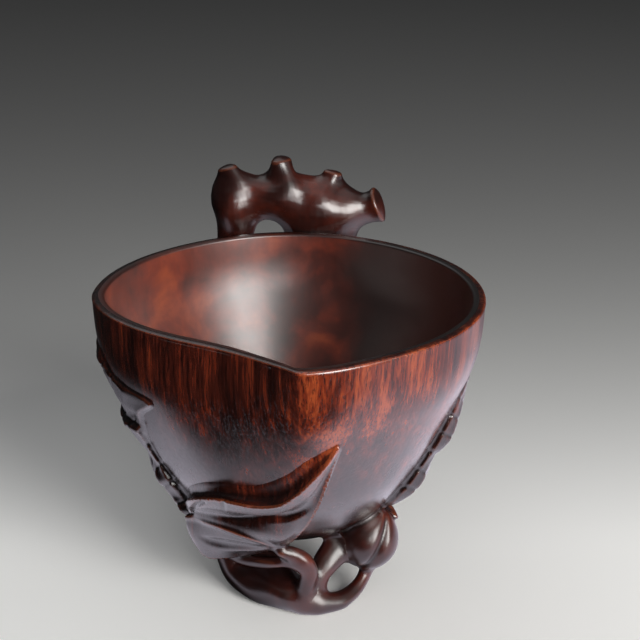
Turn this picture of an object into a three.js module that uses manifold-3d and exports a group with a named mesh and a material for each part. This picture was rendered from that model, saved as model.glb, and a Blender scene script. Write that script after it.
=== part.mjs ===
// A carved libation cup: a peach-shaped bowl with leaves in relief, a gnarled branch that rises behind it
// as the handle, and a foot of looping roots with a small peach. Millimetres, +Z up.
// The pouring tip points to -Y and the handle stands at +Y.
import * as THREE from 'three';
import { mergeVertices } from 'three/addons/utils/BufferGeometryUtils.js';
import Module from 'manifold-3d';

const wasm = await Module();
wasm.setup();

// Driving dimensions of the bowl
const RIM_RADIUS = 44.3; // mean outer radius at the rim
const RIM_HEIGHT = 71; // rim above the ground
const BOWL_BOTTOM = 14; // underside of the bowl above the ground
const WALL = 2.9; // wall at the rim
const FLOOR = 6; // thickness of the bowl's floor
const CHEEK_DEPTH = 30; // how strongly the left cheek is drawn in beside the tip
const TIP_ANGLE = -87.4; // direction of the pouring tip, in degrees from +X
const TIP_SWELL = 3; // how far the tip stands out
const TIP_BREADTH = 18; // degrees over which that swelling fades
const TIP_SOFTNESS = 0.012; // how blunt the tip is at the rim, as a share of the left cheek's sweep
const KEEL_SOFTNESS = 0.16; // the same at the bowl's bottom, where the tip's keel has faded
const BACK_SWELL = 2; // how far the rim swells towards the handle
const BACK_ANGLE = 91; // direction of that swelling
const BACK_BREADTH = 28; // degrees over which it fades

// Driving dimensions of the handle
const HANDLE_SPAN = 45; // the crossing branch, from its left end to its cut right end
const HANDLE_RISE = 18.2; // top of the tallest stub above the rim
const HANDLE_REACH = 10.5; // furthest the trunk's centre stands behind the rim
const TRUNK_RADIUS = 5.8;
const CROSS_RADIUS = 6.1; // the branch that crosses above the rim

// Driving dimensions of the carving and the foot
const RELIEF = 3.4; // how far a leaf's lip stands off the wall
const EMBEDDED = 2.4; // how far a leaf's back would reach into the wall
const SKIRT_RADIUS = 27; // the lower leaf's furthest edge from the bowl's axis
const FOOT_REACH = 21; // the front root's centre from the bowl's axis
const ROOT_RADIUS = 3.7; // the front root where it lies on the ground
const PEACH_RADIUS = 6.9;
const PEACH_LEAN = 27; // degrees that the peach leans to the right at its top
const CLEFT_TURN = 17; // degrees that its cleft is turned to the right of the front
const CLEFT_DEPTH = 0.2; // the cleft's depth, as a share of the peach's radius
const CLEFT_BREADTH = 15; // degrees over which the cleft fades
const GROUND_CUT = 0.35; // how much of a root is planed away where it stands
const GAP = 0.3; // clearance between neighbouring pieces

// Facets
const BOWL_COLUMNS = 72;
const BRANCH_SIDES = 12;
const BRANCH_STEP = 2.4;
const LEAF_ROWS = 2; // rows of facets from one station of a leaf to the next

const BOWL_HEIGHT = RIM_HEIGHT - BOWL_BOTTOM;
const RIM_ROLL = WALL / 2;
const radians = THREE.MathUtils.degToRad;

// The bowl's outer profile: share of the rim's radius against share of the bowl's height.
const bowlProfile = new THREE.CatmullRomCurve3([
  [0, 0], [0.2, 0.012], [0.37, 0.045], [0.524, 0.13], [0.607, 0.212], [0.717, 0.34], [0.828, 0.511],
  [0.92, 0.67], [0.964, 0.76], [0.988, 0.85], [1, 1],
].map(([radius, height]) => new THREE.Vector3(radius, height, 0)));

const profilePoints = bowlProfile.getPoints(600);

// Share of the rim's radius at a share of the bowl's height.
function profileAt(height) {
  const above = Math.max(1, profilePoints.findIndex((point) => point.y >= height));
  const [low, high] = [profilePoints[above - 1], profilePoints[above]];
  return THREE.MathUtils.mapLinear(height, low.y, high.y, low.x, high.x);
}

// The outer radius of the rim's outline: round, swelling to the handle, drawn in on the left cheek and ending
// in a tip that is as blunt as the softness says.
function outlineRadius(angle, softness) {
  const turned = THREE.MathUtils.euclideanModulo(angle + 180, 360) - 180;
  const tip = TIP_SWELL * Math.exp(-(((turned - TIP_ANGLE) / TIP_BREADTH) ** 2));
  const back = BACK_SWELL * Math.exp(-(((turned - BACK_ANGLE) / BACK_BREADTH) ** 2));
  const along = (TIP_ANGLE - turned) / (TIP_ANGLE + 180);
  const past = Math.min(1, (along + Math.hypot(along, softness)) / 2);
  return RIM_RADIUS + tip + back - CHEEK_DEPTH * past ** 0.65 * (1 - past) ** 1.5;
}

const rimRadius = (angle) => outlineRadius(angle, TIP_SOFTNESS);

// The outer wall's radius at an angle and a share of the bowl's height. The rim's shape fades downwards.
function wallRadius(angle, height) {
  const share = THREE.MathUtils.clamp(height, 0, 1);
  const softness = THREE.MathUtils.lerp(KEEL_SOFTNESS, TIP_SOFTNESS, share);
  return profileAt(share) * THREE.MathUtils.lerp(RIM_RADIUS, outlineRadius(angle, softness), share ** 0.8);
}

// A point given by its angle in degrees, its distance from the bowl's axis and its height above the ground.
function polar(angle, radius, z) {
  return new THREE.Vector3(radius * Math.cos(radians(angle)), radius * Math.sin(radians(angle)), z);
}

// A point that stands proud of the outer wall, at a height above the ground.
function onWall(angle, z, proud) {
  return polar(angle, wallRadius(angle, (z - BOWL_BOTTOM) / BOWL_HEIGHT) + proud, z);
}

// A height above the ground, given as a share of the bowl's height.
function wallHeight(share) {
  return BOWL_BOTTOM + share * BOWL_HEIGHT;
}

// Solids

// A closed surface through rings of points, with a point at each end.
function loft(first, rings, last) {
  const count = rings[0].length;
  const points = [first, ...rings.flat(), last];
  const faces = [];
  const at = (ring, i) => 1 + ring * count + (i % count);
  for (let i = 0; i < count; i++) faces.push(0, at(0, i + 1), at(0, i));
  for (let ring = 0; ring + 1 < rings.length; ring++) {
    for (let i = 0; i < count; i++) {
      faces.push(at(ring, i), at(ring, i + 1), at(ring + 1, i + 1));
      faces.push(at(ring, i), at(ring + 1, i + 1), at(ring + 1, i));
    }
  }
  const end = rings.length - 1;
  for (let i = 0; i < count; i++) faces.push(points.length - 1, at(end, i), at(end, i + 1));
  const geometry = new THREE.BufferGeometry().setFromPoints(points);
  geometry.setIndex(faces);
  return geometry;
}

// A three.js geometry as a solid that can be cut and joined.
function solidOf(geometry) {
  const bare = geometry.clone();
  bare.deleteAttribute('normal');
  bare.deleteAttribute('uv');
  const merged = mergeVertices(bare, 1e-4);
  const solid = new wasm.Manifold(new wasm.Mesh({
    numProp: 3,
    vertProperties: Float32Array.from(merged.attributes.position.array),
    triVerts: Uint32Array.from(merged.index.array),
  }));
  return solid;
}

// The largest body of a solid, without the crumbs that a cut leaves.
function largest(solid) {
  return solid.decompose().sort((a, b) => b.volume() - a.volume())[0];
}

function geometryOf(solid) {
  const mesh = solid.getMesh();
  const geometry = new THREE.BufferGeometry();
  geometry.setAttribute('position', new THREE.BufferAttribute(Float32Array.from(mesh.vertProperties), 3));
  geometry.setIndex(new THREE.BufferAttribute(Uint32Array.from(mesh.triVerts), 1));
  geometry.computeVertexNormals();
  return geometry;
}

// Everything below the ground, which planes the feet flat.
const underground = solidOf(
  new THREE.BoxGeometry(4 * RIM_RADIUS, 4 * RIM_RADIUS, BOWL_BOTTOM).translate(0, 0, -BOWL_BOTTOM / 2),
);

// The bowl

function ringAt(share, radiusOf, z) {
  return Array.from({ length: BOWL_COLUMNS }, (_, i) => {
    const angle = TIP_ANGLE + (360 * i) / BOWL_COLUMNS;
    return polar(angle, radiusOf(angle, share), z);
  });
}

const OUTER_SHARES = [0.012, 0.05, 0.125, 0.212, 0.34, 0.5, 0.66, 0.83];

// The bowl's outer form as one solid without its hollow, grown by a clearance.
function bowlEnvelope(grow) {
  const radiusOf = (angle, share) => wallRadius(angle, share) + grow;
  const rings = [...OUTER_SHARES, 1].map((share) => ringAt(share, radiusOf, wallHeight(share) - grow));
  rings.push(ringAt(1, radiusOf, RIM_HEIGHT + grow));
  return solidOf(loft(
    new THREE.Vector3(0, 0, BOWL_BOTTOM - grow),
    rings,
    new THREE.Vector3(0, 0, RIM_HEIGHT + grow),
  ));
}

// The open bowl: up the outside, over the rounded rim and down the inside to the floor.
function bowl() {
  const rings = OUTER_SHARES.map((share) => ringAt(share, wallRadius, wallHeight(share)));
  for (const turn of [0, 45, 90, 135, 180]) {
    const inset = RIM_ROLL * (1 - Math.cos(radians(turn)));
    const drop = RIM_ROLL * 0.6 * (1 - Math.sin(radians(turn)));
    rings.push(ringAt(1, (angle) => rimRadius(angle) - inset, RIM_HEIGHT - drop));
  }
  const floor = BOWL_BOTTOM + FLOOR;
  const shrink = 1 - WALL / RIM_RADIUS;
  for (const share of [...OUTER_SHARES].reverse()) {
    const inner = (angle) => wallRadius(angle, share) * shrink;
    rings.push(ringAt(share, inner, THREE.MathUtils.lerp(floor, RIM_HEIGHT, share)));
  }
  return solidOf(loft(new THREE.Vector3(0, 0, BOWL_BOTTOM), rings, new THREE.Vector3(0, 0, floor)));
}

// Branches

// A branch along a smooth curve. Each station is [point, radius]; the ends are rounded or cut flat.
function branch(stations, grow = 0, { flatEnd = false } = {}) {
  const path = new THREE.CatmullRomCurve3(stations.map(([point]) => point), false, 'centripetal');
  const girth = new THREE.CatmullRomCurve3(
    stations.map(([, radius], i) => new THREE.Vector3(i, radius, 0)),
  );
  const steps = Math.max(3, Math.round(path.getLength() / BRANCH_STEP));
  const frames = path.computeFrenetFrames(steps);
  const ringOf = (i, scale, advance) => {
    const u = i / steps;
    const radius = (girth.getPoint(path.getUtoTmapping(u)).y + grow) * scale;
    const centre = path.getPointAt(u).addScaledVector(frames.tangents[i], advance);
    return Array.from({ length: BRANCH_SIDES }, (_, k) => {
      const turn = (2 * Math.PI * k) / BRANCH_SIDES;
      return centre.clone()
        .addScaledVector(frames.normals[i], radius * Math.cos(turn))
        .addScaledVector(frames.binormals[i], radius * Math.sin(turn));
    });
  };
  const rings = [];
  const startBulge = stations[0][1] + grow;
  const endBulge = (flatEnd ? 0.25 : 1) * (stations.at(-1)[1] + grow);
  rings.push(ringOf(0, 0.55, -0.8 * startBulge));
  rings.push(ringOf(0, 0.87, -0.5 * startBulge));
  for (let i = 0; i <= steps; i++) rings.push(ringOf(i, 1, 0));
  rings.push(ringOf(steps, 0.87, 0.5 * endBulge));
  rings.push(ringOf(steps, 0.55, 0.8 * endBulge));
  const first = path.getPointAt(0).addScaledVector(frames.tangents[0], -startBulge);
  const last = path.getPointAt(1).addScaledVector(frames.tangents[steps], endBulge);
  return solidOf(loft(first, rings, last));
}

// Stations of the handle: shares of its span sideways, of its reach behind the rim and of its rise above it.
const BACK = rimRadius(90);
const behind = (x, out, up, girth) => [
  new THREE.Vector3(x * HANDLE_SPAN, BACK + out * HANDLE_REACH, RIM_HEIGHT + up * HANDLE_RISE),
  girth * CROSS_RADIUS,
];

// Stations of the trunk below the rim, at a share of the rim's height.
const risen = (x, out, share, girth) => [
  new THREE.Vector3(x * HANDLE_SPAN, BACK + out * HANDLE_REACH, share * RIM_HEIGHT),
  girth * TRUNK_RADIUS,
];

// Stations that run into the bowl's wall: the height is a share of the bowl's.
const intoWall = (angle, share, proud, girth) => [
  onWall(angle, wallHeight(share), proud * TRUNK_RADIUS),
  girth * TRUNK_RADIUS,
];

// Stations of the foot: shares of its reach sideways and of the height below the bowl, or on the ground.
const rooted = (x, y, share, girth) => [
  new THREE.Vector3(x * FOOT_REACH, y * FOOT_REACH, share * BOWL_BOTTOM),
  girth * ROOT_RADIUS,
];
const grounded = (x, y, girth) => [
  new THREE.Vector3(x * FOOT_REACH, y * FOOT_REACH, girth * ROOT_RADIUS - GROUND_CUT),
  girth * ROOT_RADIUS,
];

const CROSS_OUT = 0.42; // the crossing branch's place, as a share of the handle's reach

// The main stem of the handle, from the foot up and over behind the rim.
const handleTrunk = (grow) => branch([
  behind(0.12, CROSS_OUT + 0.03, 0.2, 1.04),
  behind(0.125, CROSS_OUT + 0.18, -0.2, 1.03),
  behind(0.14, 0.86, -0.6, 0.98),
  risen(0.155, 1, 0.66, 1),
  risen(0.13, 0.86, 0.48, 0.96),
  risen(0.09, 0.1, 0.3, 0.98),
  rooted(0.064, 1.73, 0.91, 1.57),
  rooted(-0.043, 1.255, 0.61, 1.5),
], grow);

// The branch that crosses above the rim, with its pruned stubs.
function crossBranch(grow) {
  const body = branch([
    behind(-0.37, CROSS_OUT - 0.03, 0.48, 0.8),
    behind(-0.25, CROSS_OUT, 0.5, 0.92),
    behind(-0.102, CROSS_OUT + 0.02, 0.467, 1),
    behind(0.044, CROSS_OUT + 0.02, 0.423, 1.02),
    behind(0.178, CROSS_OUT, 0.368, 0.98),
    behind(0.3, CROSS_OUT - 0.03, 0.3, 0.91),
    behind(0.4, CROSS_OUT - 0.07, 0.286, 0.75),
    behind(0.46, CROSS_OUT - 0.1, 0.319, 0.64),
    behind(0.5, CROSS_OUT - 0.13, 0.36, 0.7),
  ], grow, { flatEnd: true });
  const stub = (...stations) => branch(stations, grow, { flatEnd: true });
  return body
    .add(stub(
      behind(-0.33, CROSS_OUT, 0.47, 0.8),
      behind(-0.375, CROSS_OUT, 0.7, 0.6),
      behind(-0.395, CROSS_OUT, 0.85, 0.42),
    ))
    .add(stub(
      behind(-0.065, CROSS_OUT, 0.48, 1.02),
      behind(-0.075, CROSS_OUT, 0.74, 0.76),
      behind(-0.082, CROSS_OUT, 0.96, 0.46),
    ))
    .add(stub(
      behind(0.19, CROSS_OUT, 0.38, 0.92),
      behind(0.222, CROSS_OUT, 0.64, 0.6),
      behind(0.238, CROSS_OUT, 0.775, 0.38),
    ));
}

// The leg that brings the crossing branch's left end down to the back wall.
const handleLeftLeg = (grow) => branch([
  behind(-0.335, CROSS_OUT - 0.02, 0.34, 0.92),
  behind(-0.33, CROSS_OUT - 0.04, 0.02, 0.88),
  behind(-0.335, CROSS_OUT - 0.16, -0.24, 0.8),
  intoWall(109.5, 0.74, 0.42, 0.8),
  intoWall(110.5, 0.6, -0.1, 0.8),
], grow);

// The fork beside the trunk that ties its shoulder to the back wall on the right.
const handleRightFork = (grow) => branch([
  behind(0.27, CROSS_OUT, 0.2, 0.8),
  behind(0.272, CROSS_OUT - 0.02, -0.12, 0.77),
  behind(0.29, CROSS_OUT - 0.2, -0.42, 0.72),
  intoWall(71, 0.7, 0.36, 0.72),
  intoWall(70, 0.56, -0.1, 0.76),
], grow);

// The foot

// The root that runs under the bowl and carries it, from the trunk to the front.
const rearRoot = (grow) => branch([
  rooted(-0.1, 1.1, 0.66, 1.42),
  rooted(-0.24, 0.67, 0.68, 1.52),
  rooted(-0.3, 0.19, 0.66, 1.52),
  rooted(-0.24, -0.28, 0.5, 1.3),
  rooted(-0.1, -0.62, 0.36, 1.05),
  rooted(0.04, -0.82, 0.24, 0.86),
], grow);

const toeLeft = (grow) => branch([
  rooted(-0.12, 1.2, 0.52, 1.24),
  grounded(-0.38, 1.17, 1.05),
  grounded(-0.64, 0.98, 0.8),
], grow);

const toeRight = (grow) => branch([
  rooted(0.1, 1.33, 0.54, 1.24),
  grounded(0.38, 1.33, 1.02),
  grounded(0.67, 1.17, 0.78),
], grow);

// The heavy root that drops from the bowl on the left, loops along the ground in front and climbs, ever
// thinner, to the peach.
const frontRoot = (grow) => branch([
  rooted(-0.64, -0.17, 1.1, 1.2),
  rooted(-0.655, -0.25, 0.62, 1.14),
  rooted(-0.575, -0.41, 0.29, 1.1),
  grounded(-0.4, -0.62, 1.05),
  grounded(-0.14, -0.79, 1),
  grounded(0.095, -0.905, 0.92),
  grounded(0.32, -0.95, 0.72),
  grounded(0.55, -0.86, 0.56),
  rooted(0.76, -0.64, 0.19, 0.47),
  rooted(0.86, -0.5, 0.38, 0.43),
  rooted(0.875, -0.5, 0.56, 0.45),
], grow);

// The leaves' stalk, which bends down into the loop, and the twig that creeps under the lower leaf to it.
function twigLeft(grow) {
  const stalk = branch([
    rooted(-0.07, -1.1, 1.27, 0.42),
    rooted(0.07, -1.06, 1.14, 0.5),
    rooted(0.17, -1.035, 0.98, 0.55),
    rooted(0.215, -1.01, 0.76, 0.57),
    rooted(0.195, -0.985, 0.53, 0.6),
    grounded(0.15, -0.94, 0.7),
  ], grow);
  const creeper = branch([
    rooted(-0.66, -0.74, 0.92, 0.36),
    rooted(-0.44, -0.86, 0.89, 0.4),
    rooted(-0.24, -0.95, 0.92, 0.38),
    rooted(-0.05, -1.0, 0.99, 0.36),
    rooted(0.13, -1.02, 1, 0.36),
  ], grow);
  return stalk.add(creeper);
}

// The dark twig that rises from the loop to the bowl behind the peach.
const twigRight = (grow) => branch([
  grounded(0.3, -0.9, 0.6),
  rooted(0.33, -0.84, 0.58, 0.66),
  rooted(0.47, -0.69, 0.83, 0.84),
  rooted(0.67, -0.52, 0.98, 1.05),
  rooted(0.8, -0.38, 1.22, 1.2),
], grow);

// The small peach under the bowl: round, a little drawn out at its top, with a cleft down one side.
function peach(grow) {
  const geometry = new THREE.SphereGeometry(1, 28, 20);
  const position = geometry.attributes.position;
  const point = new THREE.Vector3();
  for (let i = 0; i < position.count; i++) {
    point.fromBufferAttribute(position, i);
    const fromCleft = Math.atan2(point.x, point.z) - radians(CLEFT_TURN);
    const inCleft = Math.exp(-((fromCleft / radians(CLEFT_BREADTH)) ** 2));
    const nearPoles = Math.sqrt(Math.max(0, 1 - point.y * point.y));
    const drawn = 0.14 * Math.max(0, point.y) ** 6;
    point.multiplyScalar((1 - CLEFT_DEPTH * nearPoles * inCleft) * (PEACH_RADIUS + grow));
    point.y *= 1.04 + drawn;
    position.setXYZ(i, point.x, point.y, point.z);
  }
  geometry.rotateX(radians(90)).rotateY(radians(PEACH_LEAN));
  geometry.translate(0.875 * FOOT_REACH, -0.53 * FOOT_REACH, BOWL_BOTTOM);
  return solidOf(geometry);
}

// Leaves

// A point of a leaf that stands proud of the wall, with the depth that the leaf has behind it.
const onLeaf = (angle, share, proud) => {
  return [onWall(angle, wallHeight(share), proud * RELIEF), proud * RELIEF + EMBEDDED];
};

// A point of a leaf that hangs round the foot: its distance and height are shares of the skirt's radius and
// of the height below the bowl.
const onSkirt = (angle, reach, height, depth) => {
  return [polar(angle, reach * SKIRT_RADIUS, height * BOWL_BOTTOM), depth * RELIEF];
};

// A leaf as a carved sheet. Each station is a row of points across it, all with as many points, and the
// sheet's face runs smoothly from station to station.
function leaf(stations, grow = 0) {
  const rails = stations[0].map((_, k) => ({
    face: new THREE.CatmullRomCurve3(stations.map((row) => row[k][0])),
    depth: new THREE.CatmullRomCurve3(stations.map((row, i) => new THREE.Vector3(i, row[k][1], 0))),
  }));
  const rows = (stations.length - 1) * LEAF_ROWS;
  const rings = [];
  for (let row = 0; row <= rows; row++) {
    const points = rails.map(({ face }) => face.getPoint(row / rows));
    const last = points.length - 1;
    const widen = (from, to) => points[to].clone().sub(points[from]).setLength(grow).add(points[to]);
    const edges = [widen(1, 0), widen(last - 1, last)];
    points[0].copy(edges[0]);
    points[last].copy(edges[1]);
    const move = (point, distance) => {
      return point.clone().addScaledVector(new THREE.Vector3(point.x, point.y, 0).normalize(), distance);
    };
    const front = points.map((point) => move(point, grow));
    const back = points.map((point, k) => move(point, -rails[k].depth.getPoint(row / rows).y - grow));
    rings.push([...front, ...back.reverse()]);
  }
  const middleOf = (ring) => ring.reduce((sum, p) => sum.add(p), new THREE.Vector3())
    .divideScalar(ring.length);
  const beyond = (ring, inner) => {
    const middle = middleOf(ring);
    return middle.clone().sub(middleOf(inner)).setLength(grow + 0.1).add(middle);
  };
  const close = () => solidOf(loft(beyond(rings[0], rings[1]), rings, beyond(rings.at(-1), rings.at(-2))));
  const solid = close();
  if (solid.volume() > 0) return solid;
  rings.reverse(); // the stations ran the other way round the bowl, which turns the sheet inside out
  return close();
}

// The fold where the front leaf turns under: the front leaf ends on it and the lower leaf hangs from it.
const fold = {
  end: [-145.5, 1.05, 1.6, 1.2],
  corner: [-137, 1.045, 1.7, 1.1],
  bend: [-130, 1.05, 1.72, 1.05],
  left: [-123.3, 1.05, 1.73, 1.0],
  middle: [-113.5, 1.03, 1.67, 0.95],
  right: [-103.5, 0.99, 1.56, 0.9],
  stalk: [-94, 0.875, 1.35, 0.8],
};

// The long leaf across the front. Each row runs from the wall down a gutter, over the leaf's lip, down its
// face into a valley and up again to the fold, and on the right to the leaf's free edge.
const frontLeaf = (grow) => leaf([
  [onLeaf(-149, 0.205, 0), onLeaf(-148.5, 0.2, 0.3), onLeaf(-147.5, 0.195, 0.75), onLeaf(-147, 0.178, 0.85),
    onLeaf(-146.5, 0.165, 0.9), onLeaf(-146, 0.155, 0.95), onSkirt(...fold.end)],
  [onLeaf(-139, 0.295, 0), onLeaf(-138, 0.28, 0.3), onLeaf(-135, 0.28, 0.95), onLeaf(-136, 0.24, 1),
    onLeaf(-137, 0.21, 0.9), onLeaf(-137, 0.19, 1.05), onSkirt(...fold.corner)],
  [onLeaf(-131, 0.345, 0), onLeaf(-129.5, 0.316, 0.31), onLeaf(-126.5, 0.322, 1.02), onLeaf(-127.8, 0.27, 1),
    onLeaf(-129.4, 0.228, 0.8), onLeaf(-130, 0.2, 1), onSkirt(...fold.bend)],
  [onLeaf(-122, 0.382, 0), onLeaf(-120.5, 0.346, 0.32), onLeaf(-117.5, 0.353, 1.05), onLeaf(-119, 0.292, 0.95),
    onLeaf(-121, 0.242, 0.7), onLeaf(-122.5, 0.21, 0.95), onSkirt(...fold.left)],
  [onLeaf(-108.5, 0.404, 0), onLeaf(-107, 0.365, 0.34), onLeaf(-106, 0.352, 1.08), onLeaf(-107, 0.296, 0.85),
    onLeaf(-109, 0.245, 0.5), onLeaf(-111.5, 0.2, 0.85), onSkirt(...fold.middle)],
  [onLeaf(-100, 0.427, 0), onLeaf(-99, 0.383, 0.36), onLeaf(-98.5, 0.36, 1.08), onLeaf(-99, 0.306, 0.8),
    onLeaf(-100, 0.26, 0.45), onLeaf(-102, 0.185, 0.95), onSkirt(...fold.right)],
  [onLeaf(-93, 0.472, 0), onLeaf(-92, 0.418, 0.36), onLeaf(-92, 0.386, 1.06), onLeaf(-91.5, 0.334, 0.74),
    onLeaf(-91.5, 0.285, 0.42), onLeaf(-92, 0.17, 0.95), onSkirt(...fold.stalk)],
  [onLeaf(-88, 0.52, 0), onLeaf(-87.2, 0.468, 0.34), onLeaf(-87, 0.44, 0.98), onLeaf(-86, 0.38, 0.66),
    onLeaf(-85, 0.33, 0.38), onLeaf(-84, 0.27, 0.5), onLeaf(-82.8, 0.215, 0.72)],
  [onLeaf(-83.2, 0.587, 0), onLeaf(-82.6, 0.542, 0.3), onLeaf(-82.3, 0.515, 0.84), onLeaf(-81, 0.462, 0.55),
    onLeaf(-80, 0.42, 0.32), onLeaf(-79.3, 0.385, 0.42), onLeaf(-78.6, 0.345, 0.6)],
  [onLeaf(-78.6, 0.632, 0), onLeaf(-78.2, 0.61, 0.24), onLeaf(-77.8, 0.597, 0.6), onLeaf(-77.4, 0.565, 0.4),
    onLeaf(-77.1, 0.54, 0.26), onLeaf(-76.8, 0.52, 0.32), onLeaf(-76.3, 0.495, 0.44)],
  [onLeaf(-75, 0.66, 0), onLeaf(-74.9, 0.658, 0.1), onLeaf(-74.8, 0.656, 0.2), onLeaf(-74.7, 0.652, 0.18),
    onLeaf(-74.6, 0.649, 0.16), onLeaf(-74.5, 0.646, 0.16), onLeaf(-74.4, 0.642, 0.16)],
], grow);

// The lower leaf, which hangs from the fold and turns in towards the root.
const lowerLeaf = (grow) => leaf([
  [onSkirt(...fold.end), onSkirt(-145.3, 1.055, 1.5, 0.9), onSkirt(-145, 1.05, 1.42, 0.6)],
  [onSkirt(...fold.corner), onSkirt(-141.5, 1.055, 1.36, 0.8), onSkirt(-142.5, 1.03, 1.2, 0.5)],
  [onSkirt(...fold.bend), onSkirt(-134, 1.015, 1.3, 0.8), onSkirt(-137.5, 0.96, 0.91, 0.45)],
  [onSkirt(...fold.left), onSkirt(-125.5, 0.97, 1.28, 0.8), onSkirt(-128, 0.875, 0.93, 0.45)],
  [onSkirt(...fold.middle), onSkirt(-115, 0.955, 1.32, 0.8), onSkirt(-117, 0.82, 1.03, 0.45)],
  [onSkirt(...fold.right), onSkirt(-104.5, 0.93, 1.35, 0.8), onSkirt(-106, 0.81, 1.13, 0.45)],
  [onSkirt(...fold.stalk), onSkirt(-95.5, 0.87, 1.3, 0.7), onSkirt(-97, 0.85, 1.26, 0.45)],
], grow);

// The leaf that climbs the left side. Its edge towards the front has two blunt teeth, which stand out from
// the bowl's outline, and a low pointed tip between them.
const leftLeaf = (grow) => leaf([
  [onLeaf(-150, 0.1, 0.9), onLeaf(-152, 0.1, 1.1), onLeaf(-160, 0.1, 0.8), onLeaf(-168, 0.11, 0.4)],
  [onLeaf(-149.5, 0.145, 0.9), onLeaf(-151.5, 0.141, 1.35), onLeaf(-162, 0.145, 1), onLeaf(-174, 0.16, 0.5)],
  [onLeaf(-151.5, 0.208, 0.5), onLeaf(-155.5, 0.208, 1.05), onLeaf(-166, 0.215, 0.9), onLeaf(-180, 0.23, 0.5)],
  [onLeaf(-152.5, 0.282, 0.5), onLeaf(-157.5, 0.282, 1.05), onLeaf(-170, 0.29, 0.8), onLeaf(-187, 0.31, 0.5)],
  [onLeaf(-155.5, 0.348, 0.3), onLeaf(-160.5, 0.348, 0.4), onLeaf(-173, 0.355, 0.4), onLeaf(-191, 0.37, 0.6)],
  [onLeaf(-157, 0.408, 0.3), onLeaf(-163, 0.408, 0.45), onLeaf(-175, 0.41, 0.4), onLeaf(-193, 0.43, 0.7)],
  [onLeaf(-156, 0.485, 0.4), onLeaf(-163, 0.485, 0.7), onLeaf(-176, 0.49, 0.6), onLeaf(-197, 0.5, 0.6)],
  [onLeaf(-154, 0.525, 0.6), onLeaf(-163, 0.515, 0.85), onLeaf(-175, 0.515, 0.7), onLeaf(-198, 0.53, 0.5)],
  [onLeaf(-152.5, 0.56, 0.2), onLeaf(-163, 0.548, 0.35), onLeaf(-175, 0.545, 0.4), onLeaf(-193, 0.56, 0.6)],
  [onLeaf(-149, 0.63, 0.28), onLeaf(-160, 0.63, 0.36), onLeaf(-173, 0.63, 0.34), onLeaf(-192, 0.635, 0.6)],
  [onLeaf(-140.5, 0.705, 0.22), onLeaf(-155, 0.705, 0.32), onLeaf(-170, 0.69, 0.34), onLeaf(-190, 0.69, 0.6)],
  [onLeaf(-155, 0.725, 0.2), onLeaf(-162, 0.725, 0.3), onLeaf(-172, 0.725, 0.34), onLeaf(-190, 0.72, 0.5)],
  [onLeaf(-163, 0.745, 0.15), onLeaf(-167, 0.745, 0.3), onLeaf(-175, 0.745, 0.34), onLeaf(-191, 0.74, 0.5)],
  [onLeaf(-164.5, 0.755, 0.2), onLeaf(-168, 0.755, 0.4), onLeaf(-175, 0.755, 0.4), onLeaf(-191, 0.75, 0.45)],
  [onLeaf(-167, 0.785, 0.15), onLeaf(-170, 0.785, 0.25), onLeaf(-176, 0.785, 0.25), onLeaf(-190, 0.785, 0.2)],
  [onLeaf(-170, 0.81, 0.05), onLeaf(-173, 0.81, 0.08), onLeaf(-178, 0.81, 0.1), onLeaf(-185, 0.81, 0.08)],
], grow);

// The leaf that climbs the right side, seen from the front only by its thick, lobed outline.
const rightLeaf = (grow) => leaf([
  [onLeaf(-28, 0.115, 0.2), onLeaf(-26, 0.113, 0.25), onLeaf(-20, 0.113, 0.25), onLeaf(-12, 0.115, 0.15)],
  [onLeaf(-26.5, 0.17, 0.4), onLeaf(-23.5, 0.17, 0.85), onLeaf(-12, 0.17, 0.8), onLeaf(2, 0.18, 0.5)],
  [onLeaf(-26, 0.22, 0.5), onLeaf(-22.5, 0.22, 1.2), onLeaf(-10, 0.22, 1.1), onLeaf(6, 0.23, 0.6)],
  [onLeaf(-25, 0.27, 0.5), onLeaf(-21.5, 0.27, 1.15), onLeaf(-9, 0.27, 1.1), onLeaf(9, 0.28, 0.7)],
  [onLeaf(-23.5, 0.33, 0.4), onLeaf(-20, 0.33, 0.78), onLeaf(-6, 0.33, 0.75), onLeaf(12, 0.34, 0.6)],
  [onLeaf(-22.5, 0.375, 0.4), onLeaf(-19, 0.375, 0.72), onLeaf(-5, 0.375, 0.75), onLeaf(12, 0.38, 0.6)],
  [onLeaf(-22, 0.42, 0.45), onLeaf(-18.5, 0.42, 0.95), onLeaf(-4, 0.42, 0.95), onLeaf(14, 0.43, 0.7)],
  [onLeaf(-21.5, 0.455, 0.45), onLeaf(-18, 0.455, 1.08), onLeaf(-3, 0.455, 1), onLeaf(16, 0.46, 0.7)],
  [onLeaf(-20.5, 0.52, 0.4), onLeaf(-17, 0.52, 0.88), onLeaf(-2, 0.52, 0.85), onLeaf(18, 0.53, 0.6)],
  [onLeaf(-19, 0.59, 0.3), onLeaf(-15.5, 0.59, 0.58), onLeaf(0, 0.59, 0.6), onLeaf(15, 0.6, 0.4)],
  [onLeaf(-17.5, 0.65, 0.15), onLeaf(-14, 0.65, 0.25), onLeaf(0, 0.65, 0.3), onLeaf(12, 0.655, 0.25)],
  [onLeaf(-14, 0.69, 0.05), onLeaf(-11, 0.69, 0.08), onLeaf(-4, 0.69, 0.1), onLeaf(3, 0.69, 0.06)],
], grow);

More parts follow.
